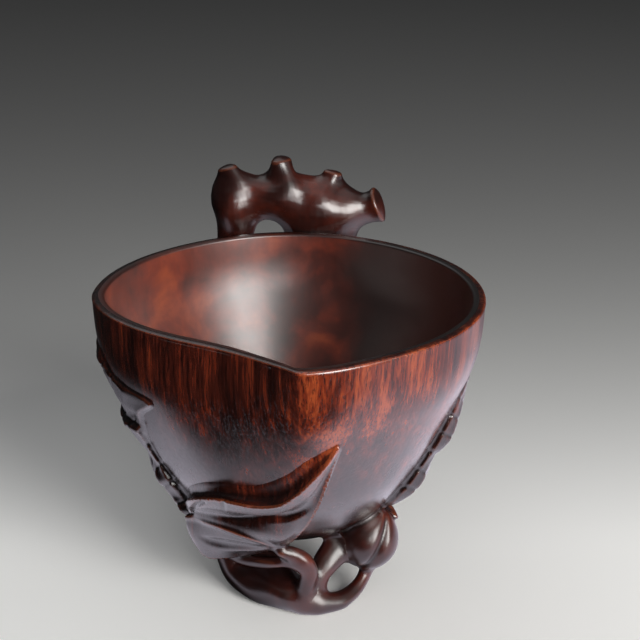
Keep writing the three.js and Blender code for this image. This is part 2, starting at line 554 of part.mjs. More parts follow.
// The leaflet behind the peach's shoulder, whose tip shows beside it.
const peachLeaflet = (grow) => leaf([
  [onSkirt(-12, 0.8, 1.46, 0.3), onSkirt(-15, 0.8, 1.52, 0.5), onSkirt(-18, 0.8, 1.48, 0.3)],
  [onSkirt(-12, 0.9, 1.4, 0.3), onSkirt(-16, 0.9, 1.48, 0.5), onSkirt(-20, 0.9, 1.44, 0.3)],
  [onSkirt(-16, 0.965, 1.33, 0.3), onSkirt(-19, 0.965, 1.4, 0.45), onSkirt(-21.5, 0.96, 1.4, 0.3)],
  [onSkirt(-20.8, 1.005, 1.31, 0.25), onSkirt(-21.4, 1.007, 1.34, 0.3), onSkirt(-22, 1.005, 1.36, 0.25)],
], grow);

// Assembly

const WOOD = { bowl: '#5a1c0c', branch: '#3d150d', leaf: '#4a180d', fruit: '#451610' };

// Each piece is cut by the grown forms of the pieces it is seated against, listed before it.
const pieces = [
  { name: 'bowl', colour: WOOD.bowl, make: bowl, grown: () => bowlEnvelope(GAP) },
  { name: 'peach', colour: WOOD.fruit, make: peach },
  { name: 'handle_trunk', colour: WOOD.branch, make: handleTrunk },
  { name: 'handle_cross_branch', colour: WOOD.branch, make: crossBranch },
  { name: 'handle_left_leg', colour: WOOD.branch, make: handleLeftLeg },
  { name: 'handle_right_fork', colour: WOOD.branch, make: handleRightFork },
  { name: 'foot_front_root', colour: WOOD.branch, make: frontRoot },
  { name: 'foot_rear_root', colour: WOOD.branch, make: rearRoot },
  { name: 'foot_toe_left', colour: WOOD.branch, make: toeLeft },
  { name: 'foot_toe_right', colour: WOOD.branch, make: toeRight },
  { name: 'foot_twig_left', colour: WOOD.branch, make: twigLeft },
  { name: 'foot_twig_right', colour: WOOD.branch, make: twigRight },
  { name: 'leaf_lower', colour: WOOD.leaf, make: lowerLeaf },
  { name: 'leaf_front', colour: WOOD.leaf, make: frontLeaf },
  { name: 'leaf_left', colour: WOOD.leaf, make: leftLeaf },
  { name: 'leaf_right', colour: WOOD.leaf, make: rightLeaf },
  { name: 'peach_leaflet', colour: WOOD.leaf, make: peachLeaflet },
];

const cup = new THREE.Group();
const seats = [];
for (const { name, colour, make, grown } of pieces) {
  let solid = make(0);
  for (const seat of seats) solid = solid.subtract(seat);
  solid = largest(solid.subtract(underground));
  seats.push(grown ? grown() : make(GAP));
  const material = new THREE.MeshStandardMaterial({ color: colour, roughness: 0.25, metalness: 0 });
  const mesh = new THREE.Mesh(geometryOf(solid), material);
  mesh.name = name;
  cup.add(mesh);
}

// The part's origin is on the ground at the middle of its outline.
const outline = new THREE.Box3().setFromObject(cup);
const middle = outline.getCenter(new THREE.Vector3());
cup.position.set(-middle.x, -middle.y, 0);

export default cup;
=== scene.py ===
"""A carved wooden libation cup on a pale floor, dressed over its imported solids.

The shapes are in millimetres from the bowl's axis at the ground, with the pouring tip towards -Y and the
handle towards +Y. They become metres in the frame's place when a piece is made. Materials and the stage are
in metres.
"""

import math

import bpy
import numpy as np
import openvdb
from mathutils import Euler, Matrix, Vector


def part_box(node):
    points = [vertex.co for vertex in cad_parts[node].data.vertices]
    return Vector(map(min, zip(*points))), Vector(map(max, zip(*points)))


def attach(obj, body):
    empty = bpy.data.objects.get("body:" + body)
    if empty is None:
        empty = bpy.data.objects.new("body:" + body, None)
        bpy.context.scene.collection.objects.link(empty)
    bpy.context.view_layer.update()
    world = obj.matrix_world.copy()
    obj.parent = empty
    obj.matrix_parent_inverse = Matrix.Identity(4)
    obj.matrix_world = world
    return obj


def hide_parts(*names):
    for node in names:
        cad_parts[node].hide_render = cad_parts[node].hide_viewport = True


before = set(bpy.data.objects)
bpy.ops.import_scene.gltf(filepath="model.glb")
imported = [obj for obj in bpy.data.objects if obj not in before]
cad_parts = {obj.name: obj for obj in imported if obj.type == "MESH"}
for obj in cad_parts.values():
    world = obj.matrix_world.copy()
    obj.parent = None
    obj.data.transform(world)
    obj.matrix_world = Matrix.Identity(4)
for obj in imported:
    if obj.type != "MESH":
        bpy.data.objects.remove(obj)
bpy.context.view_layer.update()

MM = 0.001

# Bowl
RIM_RADIUS = 44.3
RIM_HEIGHT = 71.0
BOWL_BOTTOM = 14.0
BOWL_HEIGHT = RIM_HEIGHT - BOWL_BOTTOM
WALL = 2.9
FLOOR = 6.0
CHEEK_DEPTH = 30.0
TIP_ANGLE = -87.4
TIP_SWELL = 3.0
TIP_BREADTH = 18.0
TIP_SOFTNESS = 0.012
KEEL_SOFTNESS = 0.16
BACK_SWELL = 2.0
BACK_ANGLE = 91.0
BACK_BREADTH = 28.0
BOWL_COLUMNS = 400
COLUMN_CROWDING = 0.8  # 0 spaces the columns evenly, and more draws them towards the tip
BOWL_ROWS = 110
ROW_CROWDING = 1.6  # 1 spaces the rows evenly, and more draws them towards the bottom
LIP_ROWS = 19
LIP_SQUARENESS = 0.6  # 1 is a round lip, and less is a squarer one
LIP_DROOP = 0.55  # how far the lip's edges lie below its crown, over half the wall's thickness
LIP_PALE = 28.0  # where round the lip, in degrees from the outside, it is worn palest
LIP_PALE_BREADTH = 12.0
# The lip's top is darkened by painted shade
LIP_DARK = (45.0, 65.0, 160.0, 175.0)  # where painted shade on the lip's top begins, is full, is still full and ends
LIP_DARKNESS = 0.6

# Handle
HANDLE_SPAN = 45.0
HANDLE_RISE = 18.2
HANDLE_REACH = 10.5
CROSS_OUT = 0.42
TRUNK_RADIUS = 5.8
CROSS_RADIUS = 6.1

# Carving and foot
RELIEF = 3.4
EMBEDDED = 2.4  # how far a leaf's wood goes into the wall
SKIRT_RADIUS = 27.0  # how far out the leaves lie that hang round the foot
FOOT_REACH = 21.0
ROOT_RADIUS = 3.7
GROUND_CUT = 0.35  # how much of a root's underside the ground cuts flat
LEAF_STEPS = 6  # faces between two points of a leaf
VEIN_GAP = 4.6  # how far apart a side leaf's slanting veins are, up the wall
VEIN_DEPTH = 0.42
VEIN_SLOPE = 0.8  # how much a slanting vein climbs for its way from the midrib
MIDRIB_BREADTH = 0.55
VEIN_BREADTH = 0.45
VEIN_SHARE = 0.7  # how deep a slanting vein is, over the midrib
VEINED_BREADTH = 11.0  # how far from the midrib the veins have died away
LUMP_HEIGHT = 0.16  # the soft lumps that a knife and wear leave on a branch

# Peach
PEACH_RADIUS = 6.9
PEACH_PLACE = (0.875 * FOOT_REACH, -0.53 * FOOT_REACH, BOWL_BOTTOM)
PEACH_LEAN = 27.0
PEACH_TALLNESS = 1.04
PEACH_POINT = 0.14  # how much its top is drawn out, over its radius
PEACH_COLUMNS = 96
PEACH_ROWS = 56
PEACH_POLE = 86.0  # the latitude of its last rows
CLEFT_TURN = 17.0
CLEFT_DEPTH = 0.2
CLEFT_BREADTH = 11.0

# Branches
CURVE_SAMPLES = 40  # for each station of a branch, before it is stepped evenly
BRANCH_STEP = 0.6
BRANCH_SIDES = 28
FIRST_SIDE = (0.31, 0.2, 0.93)  # a direction that no branch starts along
END_ROUNDING = (20, 40, 60, 80)  # the latitudes of the rings that close an end

# Volumes
VOXEL = 0.34
BAND = 7.0  # how far from a surface its distance is known
MARGIN = 4.0  # how far a piece's box of voxels reaches past its own points
OVERLAP = 0.2  # how far a piece reaches past the middle of the joint with its neighbour
SHELL = 0.003  # how much higher the surface of each further piece lies, so that no two coincide
DRAWN_IN = 0.5  # how far the handle is drawn in above the rim, for what its fillets swell
BURIED = 1.0  # how deep a piece reaches into the bowl's wall
RIM_CLEAR = 5.0  # fillets into the bowl fade between twice this depth and once this depth below the rim
FADED = 0.02  # what is left of a fillet above that, over the whole one
RUN_OUT = 0.05  # how far inside the bowl's surface the fillets run out
OWN_FILLET = 2.5  # between the parts of one member
CUT_FILLET = 0.5  # round the edges of a groove
BEND_STEP = 2  # over how many voxels the bending of a surface is measured
CREASE_ANGLE = 38.0  # degrees between faces above which an edge is drawn sharp


# Curves


def smooth_curve(points, count):
    """Points along a centripetal Catmull-Rom curve through the given ones."""
    points = np.asarray(points, float)
    before, after = 2 * points[0] - points[1], 2 * points[-1] - points[-2]
    knots = np.concatenate([[before], points, [after]])
    spans = len(points) - 1
    out = np.empty((count, points.shape[1]))
    for i, u in enumerate(np.linspace(0, spans, count)):
        k = min(int(u), spans - 1)
        p = knots[k:k + 4]
        gap = np.maximum(np.linalg.norm(np.diff(p[:, :3], axis=0), axis=1) ** 0.5, 1e-6)
        t = np.concatenate([[0], np.cumsum(gap)])
        x = t[1] + (u - k) * gap[1]
        a = [((t[j + 1] - x) * p[j] + (x - t[j]) * p[j + 1]) / (t[j + 1] - t[j]) for j in range(3)]
        b = [((t[j + 2] - x) * a[j] + (x - t[j]) * a[j + 1]) / (t[j + 2] - t[j]) for j in range(2)]
        out[i] = ((t[2] - x) * b[0] + (x - t[1]) * b[1]) / (t[2] - t[1])
    return out


def evenly(curve, step):
    """The same curve, stepped evenly along its length."""
    travel = np.concatenate([[0], np.cumsum(np.linalg.norm(np.diff(curve[:, :3], axis=0), axis=1))])
    count = max(4, int(travel[-1] / step) + 1)
    at = np.linspace(0, travel[-1], count)
    return np.stack([np.interp(at, travel, column) for column in curve.T], axis=1)


# The bowl's shape

PROFILE = smooth_curve([
    (0, 0, 0), (0.2, 0.012, 0), (0.37, 0.045, 0), (0.524, 0.13, 0), (0.607, 0.212, 0), (0.717, 0.34, 0),
    (0.828, 0.511, 0), (0.92, 0.67, 0), (0.964, 0.76, 0), (0.988, 0.85, 0), (1, 1, 0),
], 600)


def outline_radius(angle, softness):
    """The outline's radius at an angle in degrees, its left cheek drawn in beside a tip of some softness."""
    turned = (np.asarray(angle, float) + 180) % 360 - 180
    tip = TIP_SWELL * np.exp(-((turned - TIP_ANGLE) / TIP_BREADTH) ** 2)
    back = BACK_SWELL * np.exp(-((turned - BACK_ANGLE) / BACK_BREADTH) ** 2)
    along = (TIP_ANGLE - turned) / (TIP_ANGLE + 180)
    past = np.minimum(1, (along + np.hypot(along, softness)) / 2)
    return RIM_RADIUS + tip + back - CHEEK_DEPTH * past ** 0.65 * (1 - past) ** 1.5


def rim_radius(angle):
    return outline_radius(angle, TIP_SOFTNESS)


def wall_radius(angle, share):
    """The outer wall's radius at an angle and a share of the bowl's height."""
    share = np.clip(share, 0, 1)
    profile = np.interp(share, PROFILE[:, 1], PROFILE[:, 0])
    softness = KEEL_SOFTNESS + (TIP_SOFTNESS - KEEL_SOFTNESS) * share
    return profile * (RIM_RADIUS + (outline_radius(angle, softness) - RIM_RADIUS) * share ** 0.8)


def polar(angle, radius, z):
    """A point by its angle in degrees, its distance from the bowl's axis and its height."""
    turn = np.radians(angle)
    return np.stack(np.broadcast_arrays(radius * np.cos(turn), radius * np.sin(turn), z), axis=-1)


def on_wall(angle, share, proud):
    """A point that stands proud of the outer wall."""
    return polar(angle, wall_radius(angle, share) + proud, BOWL_BOTTOM + share * BOWL_HEIGHT)


# Meshes, as (points, quads, triangles)


def rings_mesh(rings):
    """A closed mesh through rings of equally many points, its ends shut by a fan."""
    rings = np.asarray(rings, float)
    rows, columns, _ = rings.shape
    points = np.concatenate([[rings[0].mean(0)], rings.reshape(-1, 3), [rings[-1].mean(0)]])
    ring = 1 + np.arange(rows * columns).reshape(rows, columns)
    after = np.roll(ring, -1, axis=1)
    sides = np.stack([ring[:-1], after[:-1], after[1:], ring[1:]], axis=-1).reshape(-1, 4)
    first = np.stack([after[0], ring[0], np.zeros(columns, int)], axis=-1)
    last = np.stack([ring[-1], after[-1], np.full(columns, len(points) - 1)], axis=-1)
    return points, sides, np.concatenate([first, last])


def bowl_angles():
    """Directions round the bowl, closer together beside the pouring tip."""
    turn = np.linspace(0, 1, BOWL_COLUMNS, endpoint=False)
    return TIP_ANGLE + 360 * (turn - COLUMN_CROWDING * np.sin(2 * np.pi * turn) / (2 * np.pi))


def wall_shares():
    """Heights up the wall, closer together where it curves in to the bottom."""
    return np.linspace(0, 1, BOWL_ROWS + 1)[2:] ** ROW_CROWDING


def lip_wear_and_shade(degrees):
    """The lip's marks at some degrees round it: above zero where worn pale, below where painted shade darkens
    it.
    """
    pale = math.exp(-((degrees - LIP_PALE) / LIP_PALE_BREADTH) ** 2)
    return pale - LIP_DARKNESS * np.interp(degrees, LIP_DARK, (0, 1, 1, 0))


def wall_ring(share):
    """A ring round the outer wall at a share of the bowl's height."""
    angles = bowl_angles()
    return polar(angles, wall_radius(angles, share), BOWL_BOTTOM + share * BOWL_HEIGHT)


def bowl_mesh():
    """The open bowl: up the outside, over the lip and down the inside. Also each point's wear and painted
    shade.
    """
    angles = bowl_angles()
    rings = [wall_ring(share) for share in wall_shares()[:-1]]
    tone_marks = [0.0] * len(rings)
    roll = WALL / 2
    for degrees in np.linspace(0, 180, LIP_ROWS):
        over, up = math.cos(math.radians(degrees)), math.sin(math.radians(degrees))
        inset = roll * (1 - math.copysign(abs(over) ** LIP_SQUARENESS, over))
        height = RIM_HEIGHT - LIP_DROOP * roll * (1 - up ** LIP_SQUARENESS)
        rings.append(polar(angles, rim_radius(angles) - inset, height))
        tone_marks.append(lip_wear_and_shade(degrees))
    floor = BOWL_BOTTOM + FLOOR
    shrink = 1 - WALL / RIM_RADIUS
    for share in wall_shares()[:-1][::-1]:
        rings.append(polar(angles, shrink * wall_radius(angles, share), floor + share * (RIM_HEIGHT - floor)))
        tone_marks.append(0.0)
    return rings_mesh(rings), np.concatenate([[0.0], np.repeat(tone_marks, BOWL_COLUMNS), [0.0]])


def bowl_envelope():
    """The bowl's outer form without its hollow."""
    return rings_mesh([wall_ring(share) for share in wall_shares()])


def tube(stations, sides=BRANCH_SIDES, bulge=1.0, gnarl=0.05):
    """A branch swept through (x, y, z, radius) stations. Its girth wavers by the share gnarl, and its last
    end stands out by bulge times its radius."""
    path = evenly(smooth_curve(stations, CURVE_SAMPLES * len(stations)), BRANCH_STEP)
    centre, radius = path[:, :3], path[:, 3]
    heading = np.gradient(centre, axis=0)
    heading /= np.linalg.norm(heading, axis=1, keepdims=True)
    side = np.cross(heading[0], FIRST_SIDE)
    turn = np.linspace(0, 2 * np.pi, sides, endpoint=False)
    rings = []

    def ring(i, scale, advance):
        other = np.cross(heading[i], side)
        waves = np.sin(2 * turn + 0.19 * i + radius[0]) + 0.6 * np.sin(3 * turn - 0.27 * i)
        reach = (radius[i] * scale * (1 + gnarl * waves))[:, None]
        return centre[i] + heading[i] * advance + reach * (
            np.cos(turn)[:, None] * side + np.sin(turn)[:, None] * other)

    last = len(centre) - 1
    for i in range(len(centre)):
        side = side - heading[i] * (side @ heading[i])
        side /= np.linalg.norm(side)
        if i == 0:
            for a in np.radians(END_ROUNDING[::-1]):
                rings.append(ring(0, math.cos(a), -radius[0] * math.sin(a)))
        rings.append(ring(i, 1.0, 0.0))
        if i == last:
            for a in np.radians(END_ROUNDING):
                rings.append(ring(last, math.cos(a), bulge * radius[last] * math.sin(a)))
    return rings_mesh(rings)


def leaf_mesh(stations, creases=()):
    """A carved sheet through rows of (x, y, z, depth) points, smooth but for creases along some rails."""
    stations = np.asarray(stations)
    rows = (len(stations) - 1) * LEAF_STEPS + 1
    rails = np.stack([smooth_curve(stations[:, k], rows) for k in range(stations.shape[1])], axis=1)
    bounds = [0, *creases, stations.shape[1] - 1]
    face = []
    for row in rails:
        stretches = [smooth_curve(row[a:b + 1], (b - a) * LEAF_STEPS + 1)
                     for a, b in zip(bounds, bounds[1:])]
        face.append(np.concatenate([stretches[0]] + [stretch[1:] for stretch in stretches[1:]]))
    face = np.array(face)
    outward = face[..., :3] * [1, 1, 0]
    outward /= np.linalg.norm(outward, axis=2, keepdims=True)
    back = face[..., :3] - outward * face[..., 3:]
    return rings_mesh(np.concatenate([face[..., :3], back[:, ::-1]], axis=1))


def peach_mesh():
    """A small round peach, a little drawn out at its top, with a cleft down its front."""
    turn = np.linspace(0, 2 * np.pi, PEACH_COLUMNS, endpoint=False)
    turned = np.array(Euler((math.radians(90), math.radians(PEACH_LEAN), 0), "XYZ").to_matrix())
    from_cleft = (np.degrees(turn) - CLEFT_TURN + 180) % 360 - 180
    rings = []
    for row in np.radians(np.linspace(-PEACH_POLE, PEACH_POLE, PEACH_ROWS)):
        out, up = math.cos(row), math.sin(row)
        cleft = CLEFT_DEPTH * out * np.exp(-np.abs(from_cleft / CLEFT_BREADTH) ** 1.4)
        radius = PEACH_RADIUS * (1 - cleft)
        height = up * radius * (PEACH_TALLNESS + PEACH_POINT * max(0, up) ** 6)
        rings.append(np.stack([np.sin(turn) * out * radius, height, np.cos(turn) * out * radius], -1))
    points, quads, triangles = rings_mesh(rings)
    return points @ turned.T + PEACH_PLACE, quads, triangles


# Members. A station is (x, y, z, radius), at the same place as in the solids. Each helper takes shares of
# the sizes above.

BACK = float(rim_radius(90))


def behind(x, out, up, girth):
    """A station of the handle by how far it lies out from the bowl's back and up from the rim."""
    return x * HANDLE_SPAN, BACK + out * HANDLE_REACH, RIM_HEIGHT + up * HANDLE_RISE, girth * CROSS_RADIUS


def risen(x, out, share, girth):
    """A station of the trunk by its share of the rim's height."""
    return x * HANDLE_SPAN, BACK + out * HANDLE_REACH, share * RIM_HEIGHT, girth * TRUNK_RADIUS


def into_wall(angle, share, proud, girth):
    """A station where a branch grows into the bowl's wall."""
    return *on_wall(angle, share, proud * TRUNK_RADIUS), girth * TRUNK_RADIUS


def rooted(x, y, share, girth):
    """A station of the foot by its share of the height under the bowl."""
    return x * FOOT_REACH, y * FOOT_REACH, share * BOWL_BOTTOM, girth * ROOT_RADIUS


def grounded(x, y, girth):
    """A station of the foot that rests on the ground."""
    return x * FOOT_REACH, y * FOOT_REACH, girth * ROOT_RADIUS - GROUND_CUT, girth * ROOT_RADIUS


TRUNK = [
    behind(0.11, CROSS_OUT + 0.03, 0.2, 1.18),
    behind(0.115, CROSS_OUT + 0.18, -0.2, 1.15),
    behind(0.14, 0.86, -0.6, 0.98),
    risen(0.155, 1, 0.66, 1),
    risen(0.13, 0.86, 0.48, 0.96),
    risen(0.09, 0.1, 0.3, 0.98),
    rooted(0.064, 1.73, 0.91, 1.57),
    rooted(-0.043, 1.255, 0.61, 1.5),
]

CROSS = [
    behind(-0.345, CROSS_OUT - 0.03, 0.46, 0.72),
    behind(-0.25, CROSS_OUT, 0.48, 0.88),
    behind(-0.102, CROSS_OUT + 0.02, 0.425, 1.1),
    behind(0.044, CROSS_OUT + 0.02, 0.37, 1.16),
    behind(0.178, CROSS_OUT, 0.368, 0.98),
    behind(0.3, CROSS_OUT - 0.03, 0.3, 0.91),
    behind(0.4, CROSS_OUT - 0.07, 0.286, 0.75),
    behind(0.45, CROSS_OUT - 0.1, 0.315, 0.74),
    behind(0.49, CROSS_OUT - 0.13, 0.35, 0.82),
]

STUBS = [
    [behind(x, CROSS_OUT, up, girth) for x, up, girth in stub] for stub in (
        ((-0.31, 0.45, 0.8), (-0.345, 0.66, 0.68), (-0.372, 0.86, 0.5)),
        ((-0.055, 0.46, 1.05), (-0.06, 0.7, 0.85), (-0.065, 0.97, 0.56)),
        ((0.185, 0.37, 0.92), (0.215, 0.57, 0.62), (0.235, 0.79, 0.42)),
    )
]

LEFT_LEG = [
    behind(-0.335, CROSS_OUT - 0.02, 0.34, 0.92),
    behind(-0.33, CROSS_OUT - 0.04, 0.02, 0.88),
    behind(-0.335, CROSS_OUT - 0.16, -0.24, 0.8),
    into_wall(109.5, 0.74, 0.42, 0.8),
    into_wall(110.5, 0.6, -0.1, 0.8),
]

RIGHT_FORK = [
    behind(0.27, CROSS_OUT, 0.2, 0.8),
    behind(0.272, CROSS_OUT - 0.02, -0.12, 0.77),
    behind(0.29, CROSS_OUT - 0.2, -0.42, 0.72),
    into_wall(71, 0.7, 0.36, 0.72),
    into_wall(70, 0.56, -0.1, 0.76),
]

REAR_ROOT = [
    rooted(-0.1, 1.1, 0.66, 1.42),
    rooted(-0.24, 0.67, 0.68, 1.52),
    rooted(-0.3, 0.19, 0.66, 1.52),
    rooted(-0.24, -0.28, 0.5, 1.3),
    rooted(-0.1, -0.62, 0.36, 1.05),
    rooted(0.04, -0.82, 0.24, 0.86),
]

TOE_LEFT = [
    rooted(-0.12, 1.2, 0.52, 1.24),
    grounded(-0.38, 1.17, 1.05),
    grounded(-0.64, 0.98, 0.8),
]

TOE_RIGHT = [
    rooted(0.1, 1.33, 0.54, 1.24),
    grounded(0.38, 1.33, 1.02),
    grounded(0.67, 1.17, 0.78),
]

FRONT_ROOT = [
    rooted(-0.64, -0.17, 1.1, 1.2),
    rooted(-0.655, -0.25, 0.62, 1.14),
    rooted(-0.575, -0.41, 0.29, 1.1),
    grounded(-0.4, -0.62, 1.05),
    grounded(-0.14, -0.79, 1),
    grounded(0.095, -0.905, 0.92),
    grounded(0.32, -0.95, 0.72),
    grounded(0.55, -0.86, 0.56),
    rooted(0.76, -0.64, 0.19, 0.47),
    rooted(0.86, -0.5, 0.38, 0.43),
    rooted(0.875, -0.5, 0.56, 0.45),
]

STALK = [
    rooted(-0.07, -1.1, 1.27, 0.42),
    rooted(0.07, -1.06, 1.14, 0.5),
    rooted(0.17, -1.035, 0.98, 0.55),
    rooted(0.215, -1.01, 0.76, 0.57),
    rooted(0.195, -0.985, 0.53, 0.6),
    grounded(0.15, -0.94, 0.7),
]

CREEPER = [
    rooted(-0.66, -0.74, 0.92, 0.36),
    rooted(-0.44, -0.86, 0.89, 0.4),
    rooted(-0.24, -0.95, 0.92, 0.38),
    rooted(-0.05, -1.0, 0.99, 0.36),
    rooted(0.13, -1.02, 1, 0.36),
]

TWIG_RIGHT = [
    grounded(0.3, -0.9, 0.6),
    rooted(0.33, -0.84, 0.58, 0.66),
    rooted(0.47, -0.69, 0.83, 0.84),
    rooted(0.67, -0.52, 0.98, 1.05),
    rooted(0.8, -0.38, 1.22, 1.2),
]


# Leaves. Each row of points crosses the leaf. A point becomes (x, y, z, depth of the wood behind it).


def on_leaf(angle, share, proud):
    """A point of a leaf that stands proud of the wall."""
    return *on_wall(angle, share, proud * RELIEF), proud * RELIEF + EMBEDDED


def on_skirt(angle, reach, height, depth):
    """A point of a leaf that hangs round the foot."""
    return *polar(angle, reach * SKIRT_RADIUS, height * BOWL_BOTTOM), depth * RELIEF


def leaf_rows(*rows):
    """A leaf from rows of points: those of three values stand proud of the wall and those of four hang."""
    return [[on_leaf(*point) if len(point) == 3 else on_skirt(*point) for point in row] for row in rows]


FOLD = {
    "end": (-145.5, 1.05, 1.6, 1.2),
    "corner": (-137, 1.045, 1.7, 1.1),
    "bend": (-130, 1.05, 1.72, 1.05),
    "left": (-123.3, 1.05, 1.73, 1.0),
    "middle": (-113.5, 1.03, 1.67, 0.95),
    "right": (-103.5, 0.99, 1.56, 0.9),
    "stalk": (-94, 0.875, 1.35, 0.8),
}

FRONT_LEAF = leaf_rows(
    [(-149, 0.205, 0), (-148.5, 0.2, 0.3), (-147.5, 0.195, 0.75), (-147, 0.178, 0.85),
     (-146.5, 0.165, 0.9), (-146, 0.155, 0.95), FOLD["end"]],
    [(-139, 0.295, 0), (-138, 0.28, 0.3), (-135, 0.28, 0.95), (-136, 0.24, 1),
     (-137, 0.21, 0.9), (-137, 0.19, 1.05), FOLD["corner"]],
    [(-131, 0.345, 0), (-129.5, 0.316, 0.31), (-126.5, 0.322, 1.02), (-127.8, 0.27, 1),
     (-129.4, 0.228, 0.8), (-130, 0.2, 1), FOLD["bend"]],
    [(-122, 0.382, 0), (-120.5, 0.346, 0.32), (-117.5, 0.353, 1.05), (-119, 0.292, 0.95),
     (-121, 0.242, 0.7), (-122.5, 0.21, 0.95), FOLD["left"]],
    [(-108.5, 0.404, 0), (-107, 0.365, 0.34), (-106, 0.352, 1.08), (-107, 0.296, 0.85),
     (-109, 0.245, 0.5), (-111.5, 0.2, 0.85), FOLD["middle"]],
    [(-100, 0.427, 0), (-99, 0.383, 0.36), (-98.5, 0.36, 1.08), (-99, 0.306, 0.8),
     (-100, 0.26, 0.45), (-102, 0.185, 0.95), FOLD["right"]],
    [(-93, 0.472, 0), (-92, 0.418, 0.36), (-92, 0.386, 1.06), (-91.5, 0.334, 0.74),
     (-91.5, 0.285, 0.42), (-92, 0.17, 0.95), FOLD["stalk"]],
    [(-88, 0.52, 0), (-87.2, 0.468, 0.34), (-87, 0.44, 0.98), (-86, 0.38, 0.66),
     (-85, 0.33, 0.38), (-84, 0.27, 0.5), (-82.8, 0.215, 0.72)],
    [(-83.2, 0.587, 0), (-82.6, 0.542, 0.3), (-82.3, 0.515, 0.84), (-81, 0.462, 0.55),
     (-80, 0.42, 0.32), (-79.3, 0.385, 0.42), (-78.6, 0.345, 0.6)],
    [(-78.6, 0.632, 0), (-78.2, 0.61, 0.24), (-77.8, 0.597, 0.6), (-77.4, 0.565, 0.4),
     (-77.1, 0.54, 0.26), (-76.8, 0.52, 0.32), (-76.3, 0.495, 0.44)],
    [(-75, 0.66, 0), (-74.9, 0.658, 0.1), (-74.8, 0.656, 0.2), (-74.7, 0.652, 0.18),
     (-74.6, 0.649, 0.16), (-74.5, 0.646, 0.16), (-74.4, 0.642, 0.16)],
)

LOWER_LEAF = leaf_rows(
    [FOLD["end"], (-145.3, 1.055, 1.5, 0.9), (-145, 1.05, 1.42, 0.6)],
    [FOLD["corner"], (-141.5, 1.055, 1.36, 0.8), (-142.5, 1.03, 1.2, 0.5)],
    [FOLD["bend"], (-134, 1.015, 1.3, 0.8), (-137.5, 0.96, 0.91, 0.45)],
    [FOLD["left"], (-125.5, 0.97, 1.28, 0.8), (-128, 0.875, 0.93, 0.45)],
    [FOLD["middle"], (-115, 0.955, 1.32, 0.8), (-117, 0.82, 1.03, 0.45)],
    [FOLD["right"], (-104.5, 0.93, 1.35, 0.8), (-106, 0.81, 1.13, 0.45)],
    [FOLD["stalk"], (-95.5, 0.87, 1.3, 0.7), (-97, 0.85, 1.26, 0.45)],
)

LEFT_LEAF = leaf_rows(
    [(-150, 0.1, 0.9), (-152, 0.1, 1.1), (-160, 0.1, 0.8), (-168, 0.11, 0.4)],
    [(-149.5, 0.145, 0.9), (-151.5, 0.141, 1.35), (-162, 0.145, 1), (-174, 0.16, 0.5)],
    [(-151.5, 0.208, 0.5), (-155.5, 0.208, 1.05), (-166, 0.215, 0.9), (-180, 0.23, 0.5)],
    [(-152.5, 0.282, 0.5), (-157.5, 0.282, 1.05), (-170, 0.29, 0.8), (-187, 0.31, 0.5)],
    [(-155.5, 0.348, 0.3), (-160.5, 0.348, 0.4), (-173, 0.355, 0.4), (-191, 0.37, 0.6)],
    [(-157, 0.408, 0.3), (-163, 0.408, 0.45), (-175, 0.41, 0.4), (-193, 0.43, 0.7)],
    [(-156, 0.485, 0.4), (-163, 0.485, 0.7), (-176, 0.49, 0.6), (-197, 0.5, 0.6)],
    [(-154, 0.525, 0.6), (-163, 0.515, 0.85), (-175, 0.515, 0.7), (-198, 0.53, 0.5)],
    [(-152.5, 0.56, 0.2), (-163, 0.548, 0.35), (-175, 0.545, 0.4), (-193, 0.56, 0.6)],
    [(-149, 0.63, 0.28), (-160, 0.63, 0.36), (-173, 0.63, 0.34), (-192, 0.635, 0.6)],
    [(-140.5, 0.705, 0.22), (-155, 0.705, 0.32), (-170, 0.69, 0.34), (-190, 0.69, 0.6)],
    [(-155, 0.725, 0.2), (-162, 0.725, 0.3), (-172, 0.725, 0.34), (-190, 0.72, 0.5)],
    [(-163, 0.745, 0.15), (-167, 0.745, 0.3), (-175, 0.745, 0.34), (-191, 0.74, 0.5)],
    [(-164.5, 0.755, 0.2), (-168, 0.755, 0.4), (-175, 0.755, 0.4), (-191, 0.75, 0.45)],
    [(-167, 0.785, 0.15), (-170, 0.785, 0.25), (-176, 0.785, 0.25), (-190, 0.785, 0.2)],
    [(-170, 0.81, 0.05), (-173, 0.81, 0.08), (-178, 0.81, 0.1), (-185, 0.81, 0.08)],
)

RIGHT_LEAF = leaf_rows(
    [(-28, 0.115, 0.2), (-26, 0.113, 0.25), (-20, 0.113, 0.25), (-12, 0.115, 0.15)],
    [(-26.5, 0.17, 0.4), (-23.5, 0.17, 0.85), (-12, 0.17, 0.8), (2, 0.18, 0.5)],
    [(-26, 0.22, 0.5), (-22.5, 0.22, 1.2), (-10, 0.22, 1.1), (6, 0.23, 0.6)],
    [(-25, 0.27, 0.5), (-21.5, 0.27, 1.15), (-9, 0.27, 1.1), (9, 0.28, 0.7)],
    [(-23.5, 0.33, 0.4), (-20, 0.33, 0.78), (-6, 0.33, 0.75), (12, 0.34, 0.6)],
    [(-22.5, 0.375, 0.4), (-19, 0.375, 0.72), (-5, 0.375, 0.75), (12, 0.38, 0.6)],
    [(-22, 0.42, 0.45), (-18.5, 0.42, 0.95), (-4, 0.42, 0.95), (14, 0.43, 0.7)],
    [(-21.5, 0.455, 0.45), (-18, 0.455, 1.08), (-3, 0.455, 1), (16, 0.46, 0.7)],
    [(-20.5, 0.52, 0.4), (-17, 0.52, 0.88), (-2, 0.52, 0.85), (18, 0.53, 0.6)],
    [(-19, 0.59, 0.3), (-15.5, 0.59, 0.58), (0, 0.59, 0.6), (15, 0.6, 0.4)],
    [(-17.5, 0.65, 0.15), (-14, 0.65, 0.25), (0, 0.65, 0.3), (12, 0.655, 0.25)],
    [(-14, 0.69, 0.05), (-11, 0.69, 0.08), (-4, 0.69, 0.1), (3, 0.69, 0.06)],
)

